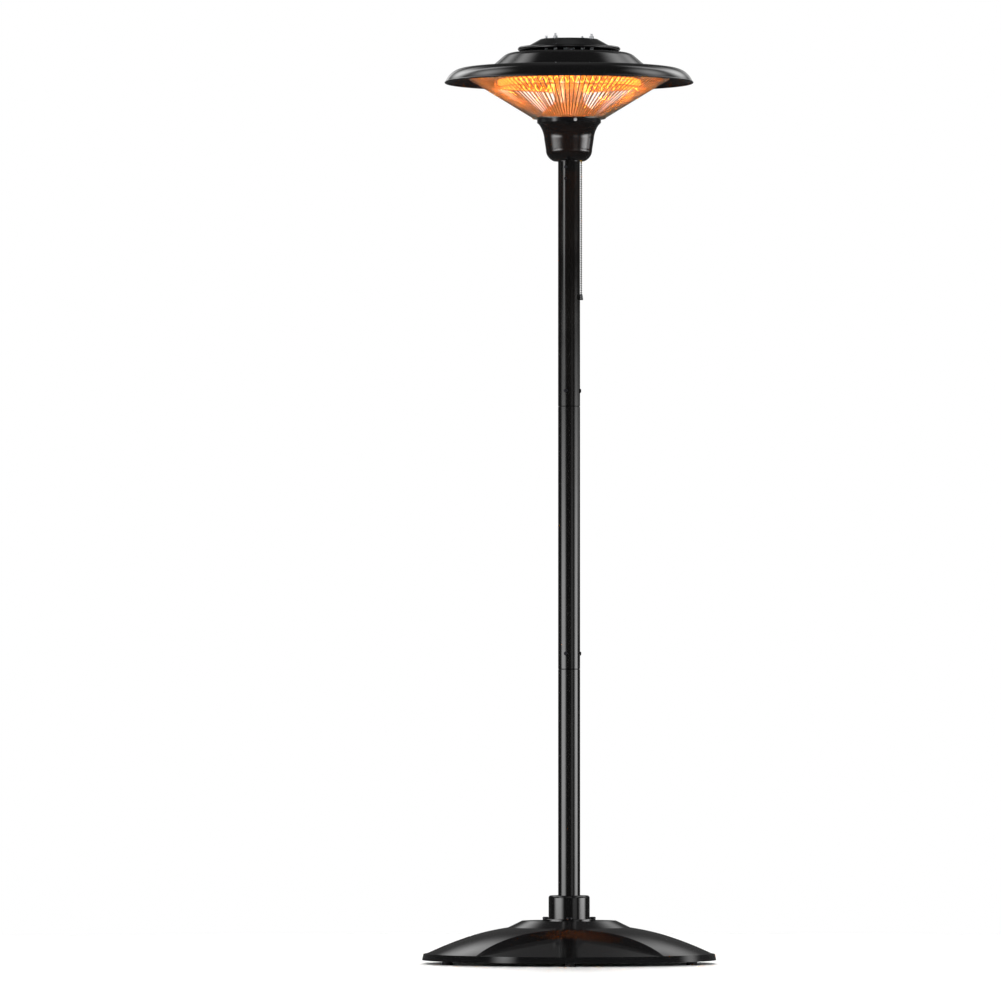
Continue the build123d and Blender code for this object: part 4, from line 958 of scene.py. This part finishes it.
@dataclass
class Shade(SubAssembly):
    """Pressed shade with a rolled edge, over the reflector, and the dome on top of it."""

    finishes: dict[Slot, tuple[str, ...]] = field(
        default_factory=lambda: {
            Slot.GLOSS_BLACK: ("upper_dome",),
            Slot.ALUMINIUM: ("reflector",),
            Slot.ZINC: ("head_spider", "jam_nut", "top_rod_nut"),
        }
    )
    hole_radius: float = 124.0
    seam_radius: float = 135.1
    top_z: float = 1549.7
    shoulder_radius: float = 183.4
    shoulder_drop: float = 3.4
    edge_radius: float = 214.2
    edge_drop: float = 27.0
    wall: float = 1.2
    bead_radius: float = 1.7
    bend_steps: int = 28
    bead_sides: int = 14
    turn_steps: int = 256

    def build(self) -> None:
        """Turn the shade's sheet and its rolled edge about the pole's axis."""
        # The bend is one arc from the slope's end to the edge. It leaves the slope in the slope's own
        # direction and arrives at the mirror of that in its chord.
        slope = Vector((self.shoulder_radius - self.seam_radius, -self.shoulder_drop)).normalized()
        chord = Vector((self.edge_radius - self.shoulder_radius, self.shoulder_drop - self.edge_drop))
        half = slope.angle(chord)
        handle = 4 / 3 * math.tan(half / 2) * chord.length / 2 / math.sin(half)
        along = chord.normalized()
        last = 2 * slope.dot(along) * along - slope
        shape = ShapeTree(
            "shade_shell",
            {
                "Hole Radius": self.hole_radius * MM,
                "Seam Radius": self.seam_radius * MM,
                "Top": self.top_z * MM,
                "Shoulder Radius": self.shoulder_radius * MM,
                "Shoulder Height": (self.top_z - self.shoulder_drop) * MM,
                "Shoulder Handle Radius": (self.shoulder_radius + handle * slope.x) * MM,
                "Shoulder Handle Height": (self.top_z - self.shoulder_drop + handle * slope.y) * MM,
                "Edge Handle Radius": (self.edge_radius - handle * last.x) * MM,
                "Edge Handle Height": (self.top_z - self.edge_drop - handle * last.y) * MM,
                "Edge Radius": self.edge_radius * MM,
                "Edge Height": (self.top_z - self.edge_drop) * MM,
                "Wall": self.wall * MM,
                "Bead Radius": self.bead_radius * MM,
                "Bead Centre": (self.edge_radius - self.wall / 2) * MM,
            },
        )
        seam = shape.profile_point("Seam Radius", "Top")
        shoulder = shape.profile_point("Shoulder Radius", "Shoulder Height")
        flat = shape.straight(shape.profile_point("Hole Radius", "Top"), seam)
        fall = shape.straight(seam, shoulder)
        bend = shape.node(
            "GeometryNodeCurvePrimitiveBezierSegment",
            {
                "Resolution": self.bend_steps,
                "Start": shoulder,
                "Start Handle": shape.profile_point("Shoulder Handle Radius", "Shoulder Handle Height"),
                "End Handle": shape.profile_point("Edge Handle Radius", "Edge Handle Height"),
                "End": shape.profile_point("Edge Radius", "Edge Height"),
            },
            mode="POSITION",
        ).outputs["Curve"]
        runs = shape.joined(*[shape.turned(run, self.turn_steps) for run in (flat, fall, bend)])
        edge = shape.node(
            "GeometryNodeTransform",
            {
                "Geometry": shape.circle(shape.size("Bead Radius"), self.bead_sides),
                "Rotation": (math.pi / 2, 0.0, 0.0),
                "Translation": shape.profile_point("Bead Centre", "Edge Height"),
            },
        )
        rolled = shape.turned(edge.outputs["Geometry"], self.turn_steps, looped=True)
        shell = shape.joined(shape.walled(shape.merged(runs), shape.size("Wall")), rolled)
        piece = shape.mesh(shell, FINISHES[Slot.GLOSS_BLACK].material())
        self.place(piece, Slot.GLOSS_BLACK, Body.STAND, "shade")


@dataclass
class TopCap(SubAssembly):
    """Vented cap on four studs, with its spacers, washers and nuts."""

    finishes: dict[Slot, tuple[str, ...]] = field(
        default_factory=lambda: {
            Slot.GLOSS_BLACK: ("top_cap",),
            Slot.ZINC: ("cap_nuts", "cap_spacers", "cap_studs", "cap_washers"),
        }
    )


# ---- Studio --------------------------------------------------------------------------------------


@dataclass
class SoftBox:
    """A large rectangular studio light that faces the pole's axis, unseen itself.

    It is met either by gloss alone or by matt surfaces alone.
    """

    name: str
    place: tuple[float, float, float]
    aim_height: float
    size: tuple[float, float]
    watts: float
    soft_edge: float = 0.5
    mirrored: bool = True

    def build(self) -> None:
        """Place the light."""
        lamp = bpy.data.lights.new(self.name, "AREA")
        lamp.shape = "RECTANGLE"
        lamp.size, lamp.size_y = self.size
        lamp.energy = self.watts
        box = add_light(lamp, Ray.CAMERA, Ray.GLASS, Ray.DIFFUSE if self.mirrored else Ray.GLOSS)
        box.location = self.place
        aim = Vector((0, 0, self.aim_height)) - Vector(self.place)
        box.rotation_euler = aim.to_track_quat("-Z", "Y").to_euler()
        self.soften(lamp)

    def soften(self, lamp: bpy.types.Light) -> None:
        """Let the light fade towards its four edges, as a diffuser's cloth does.

        Args:
            lamp: The light.
        """
        lamp.use_nodes = True
        tree = lamp.node_tree
        across = add_node(tree, "ShaderNodeNewGeometry").outputs["Parametric"]
        spread = add_node(tree, "ShaderNodeSeparateXYZ", {"Vector": across})
        light = 1.0
        for axis in ("X", "Y"):
            # From 0 at either edge to 0.5 in the middle
            edge = add_node(tree, "ShaderNodeMath", {0: spread.outputs[axis], 1: 0.5}, operation="PINGPONG")
            fade = add_node(
                tree,
                "ShaderNodeMapRange",
                {"Value": edge.outputs[0], "From Max": self.soft_edge},
                interpolation_type="SMOOTHSTEP",
            )
            light = add_node(
                tree, "ShaderNodeMath", {0: light, 1: fade.outputs["Result"]}, operation="MULTIPLY"
            ).outputs[0]
        tree.links.new(light, tree.nodes["Emission"].inputs["Strength"])


def facing_boxes(
    name: str,
    right_place: tuple[float, float, float],
    aim_height: float,
    size: tuple[float, float],
    watts: tuple[float, float],
) -> list[SoftBox]:
    """Plan two soft boxes of one size, left and right of the object.

    Args:
        name: What their names start with.
        right_place: The right box's place.
        aim_height: The height on the pole's axis that both face.
        size: Their width and height.
        watts: The left one's and the right one's power.

    Returns:
        The left box and the right box.
    """
    x, y, z = right_place
    left_watts, right_watts = watts
    return [
        SoftBox(f"{name}_left_box", (-x, y, z), aim_height, size, left_watts),
        SoftBox(f"{name}_right_box", (x, y, z), aim_height, size, right_watts),
    ]


@dataclass
class SheetLight:
    """A wide soft light from far away, over the object or behind it, that gloss doesn't mirror.

    Its elevation and its width are angles in degrees.
    """

    name: str
    elevation: float
    width: float
    strength: float

    def build(self) -> None:
        """Place the light."""
        sheet = bpy.data.lights.new(self.name, "SUN")
        sheet.energy = self.strength
        sheet.angle = math.radians(self.width)
        far = add_light(sheet, Ray.GLOSS, Ray.GLASS)
        far.rotation_euler = (math.radians(self.elevation - 90), 0, 0)


@dataclass
class Studio:
    """Camera, pale floor and soft light; lengths in metres, angles in degrees."""

    camera_distance: float = 17.3
    camera_across: float = -0.1185
    camera_height: float = 0.421
    camera_tilt: float = 1.2531
    view_angle: float = 5.7226
    view_reach: float = 100.0
    sensor_mm: float = 36.0
    floor_radius: float = 2.4
    floor_corners: int = 128
    floor_colour: str = "#f6f6f5"
    floor_colour_in_gloss: str = "#4a4745"
    backdrop_strength: float = 1.0
    surround_strength: float = 0.07
    boxes: list[SoftBox] = field(
        default_factory=lambda: [
            SoftBox(
                "left_box", (-7.5, -4.0, 0.4), aim_height=0.4, size=(11.9, 2.4), watts=590, soft_edge=0.4
            ),
            SoftBox(
                "right_box", (8.36, -1.48, 0.4), aim_height=0.4, size=(9.0, 2.4), watts=460, soft_edge=0.4
            ),
            SoftBox(
                "right_front_box", (4.5, -7.2, 0.4), aim_height=0.4, size=(5.1, 2.4), watts=25, soft_edge=0.3
            ),
            SoftBox("rim_left_box", (-3.2, -2.3, 1.6), aim_height=0.0, size=(1.9, 1.0), watts=30),
            SoftBox("rim_right_box", (3.8, 1.4, 0.95), aim_height=0.0, size=(2.2, 0.9), watts=12),
            *facing_boxes("rear", (0.86, 3.0, 2.0), aim_height=0.04, size=(1.3, 1.8), watts=(9, 6)),
            *facing_boxes("front", (2.9, -2.3, 3.3), aim_height=1.54, size=(3.4, 3.0), watts=(95, 75)),
            *facing_boxes("wing", (2.0, 2.6, 3.2), aim_height=1.54, size=(2.6, 2.2), watts=(55, 48)),
            *facing_boxes("side", (3.2, 0.9, 2.4), aim_height=1.54, size=(2.4, 2.0), watts=(34, 22)),
            *facing_boxes("high", (2.5, 0.6, 3.9), aim_height=1.0, size=(2.8, 2.6), watts=(70, 62)),
            SoftBox(
                "top_left_box", (-1.65, 1.85, 3.9), aim_height=1.56, size=(0.9, 2.4), watts=13, soft_edge=0.4
            ),
            SoftBox(
                "top_right_box", (1.55, 1.85, 3.9), aim_height=1.56, size=(1.1, 2.4), watts=14, soft_edge=0.45
            ),
            SoftBox(
                "top_rear_box", (0.0, 1.7, 4.2), aim_height=1.56, size=(1.4, 1.4), watts=0.6, soft_edge=0.45
            ),
            SoftBox("top_front_box", (0.0, -2.8, 3.1), aim_height=1.54, size=(3.4, 2.0), watts=42),
            SoftBox(
                "front_fill",
                (0.0, -3.5, 1.3),
                aim_height=1.5,
                size=(1.5, 1.5),
                watts=90,
                soft_edge=0.3,
                mirrored=False,
            ),
        ]
    )
    sheets: list[SheetLight] = field(
        default_factory=lambda: [
            SheetLight("ceiling_light", elevation=90.0, width=110.0, strength=1.45),
            SheetLight("low_rear_light", elevation=6.0, width=24.0, strength=18.5),
        ]
    )

    def build(self) -> None:
        """Set up the camera, the floor, the lights and the world."""
        self.aim_camera()
        self.lay_floor()
        for light in (*self.boxes, *self.sheets):
            light.build()
        self.surround_with_white()
        bpy.context.scene.view_settings.view_transform = "Standard"

    def aim_camera(self) -> None:
        """Put the camera far in front, at the photograph's viewing angle."""
        lens = bpy.data.cameras.new("camera")
        lens.sensor_width = self.sensor_mm
        lens.lens = self.sensor_mm / 2 / math.tan(math.radians(self.view_angle / 2))
        lens.clip_end = self.view_reach
        camera = bpy.data.objects.new("camera", lens)
        bpy.context.scene.collection.objects.link(camera)
        camera.location = (self.camera_across, -self.camera_distance, self.camera_height)
        camera.rotation_euler = (math.radians(90 + self.camera_tilt), 0, 0)
        bpy.context.scene.camera = camera

    def surround_with_white(self) -> None:
        """Make the world white behind the object, and dim where it only lights or mirrors."""
        world = bpy.data.worlds.new("studio")
        bpy.context.scene.world = world
        world.use_nodes = True
        tree = world.node_tree
        rays = add_node(tree, "ShaderNodeLightPath").outputs["Is Camera Ray"]
        strength = add_node(
            tree,
            "ShaderNodeMapRange",
            {"Value": rays, "To Min": self.surround_strength, "To Max": self.backdrop_strength},
        )
        tree.links.new(strength.outputs["Result"], tree.nodes["Background"].inputs["Strength"])
        tree.nodes["Background"].inputs["Color"].default_value = linear("#ffffff")

    def lay_floor(self) -> None:
        """Lay the pale floor: a thin round sheet of matt paper, level with the feet."""
        shape = ShapeTree("floor", {"Radius": self.floor_radius, "Corners": self.floor_corners})
        disc = shape.node(
            "GeometryNodeMeshCircle",
            {"Vertices": shape.size("Corners"), "Radius": shape.size("Radius")},
            fill_type="NGON",
        )
        paper = bpy.data.materials.new("matt_background_paper")
        paper.use_nodes = True
        shader = next(n for n in paper.node_tree.nodes if n.type == "BSDF_PRINCIPLED")
        mirrored = add_node(paper.node_tree, "ShaderNodeLightPath").outputs["Is Glossy Ray"]
        tone = add_node(
            paper.node_tree,
            "ShaderNodeMix",
            {
                "Factor_Float": mirrored,
                "A_Color": linear(self.floor_colour),
                "B_Color": linear(self.floor_colour_in_gloss),
            },
            data_type="RGBA",
        )
        tone = next(s for s in tone.outputs if s.type == "RGBA")
        paper.node_tree.links.new(tone, shader.inputs["Base Color"])
        shader.inputs["Roughness"].default_value = 1.0
        shader.inputs["Specular IOR Level"].default_value = 0.0
        shape.mesh(disc.outputs["Mesh"], paper, smooth=False)


def main() -> None:
    """Build the whole scene."""
    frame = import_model()
    Studio().build()
    for group in (Base(), Pole(), SwitchHousing(), PullChain(), Guard(), Lamp(), Shade(), TopCap()):
        log.info("%s", type(group).__name__)
        group.dress(frame["nodes"])
        group.build()


if __name__ == "__main__":
    logging.basicConfig(level=logging.INFO, format="%(message)s")
    main()
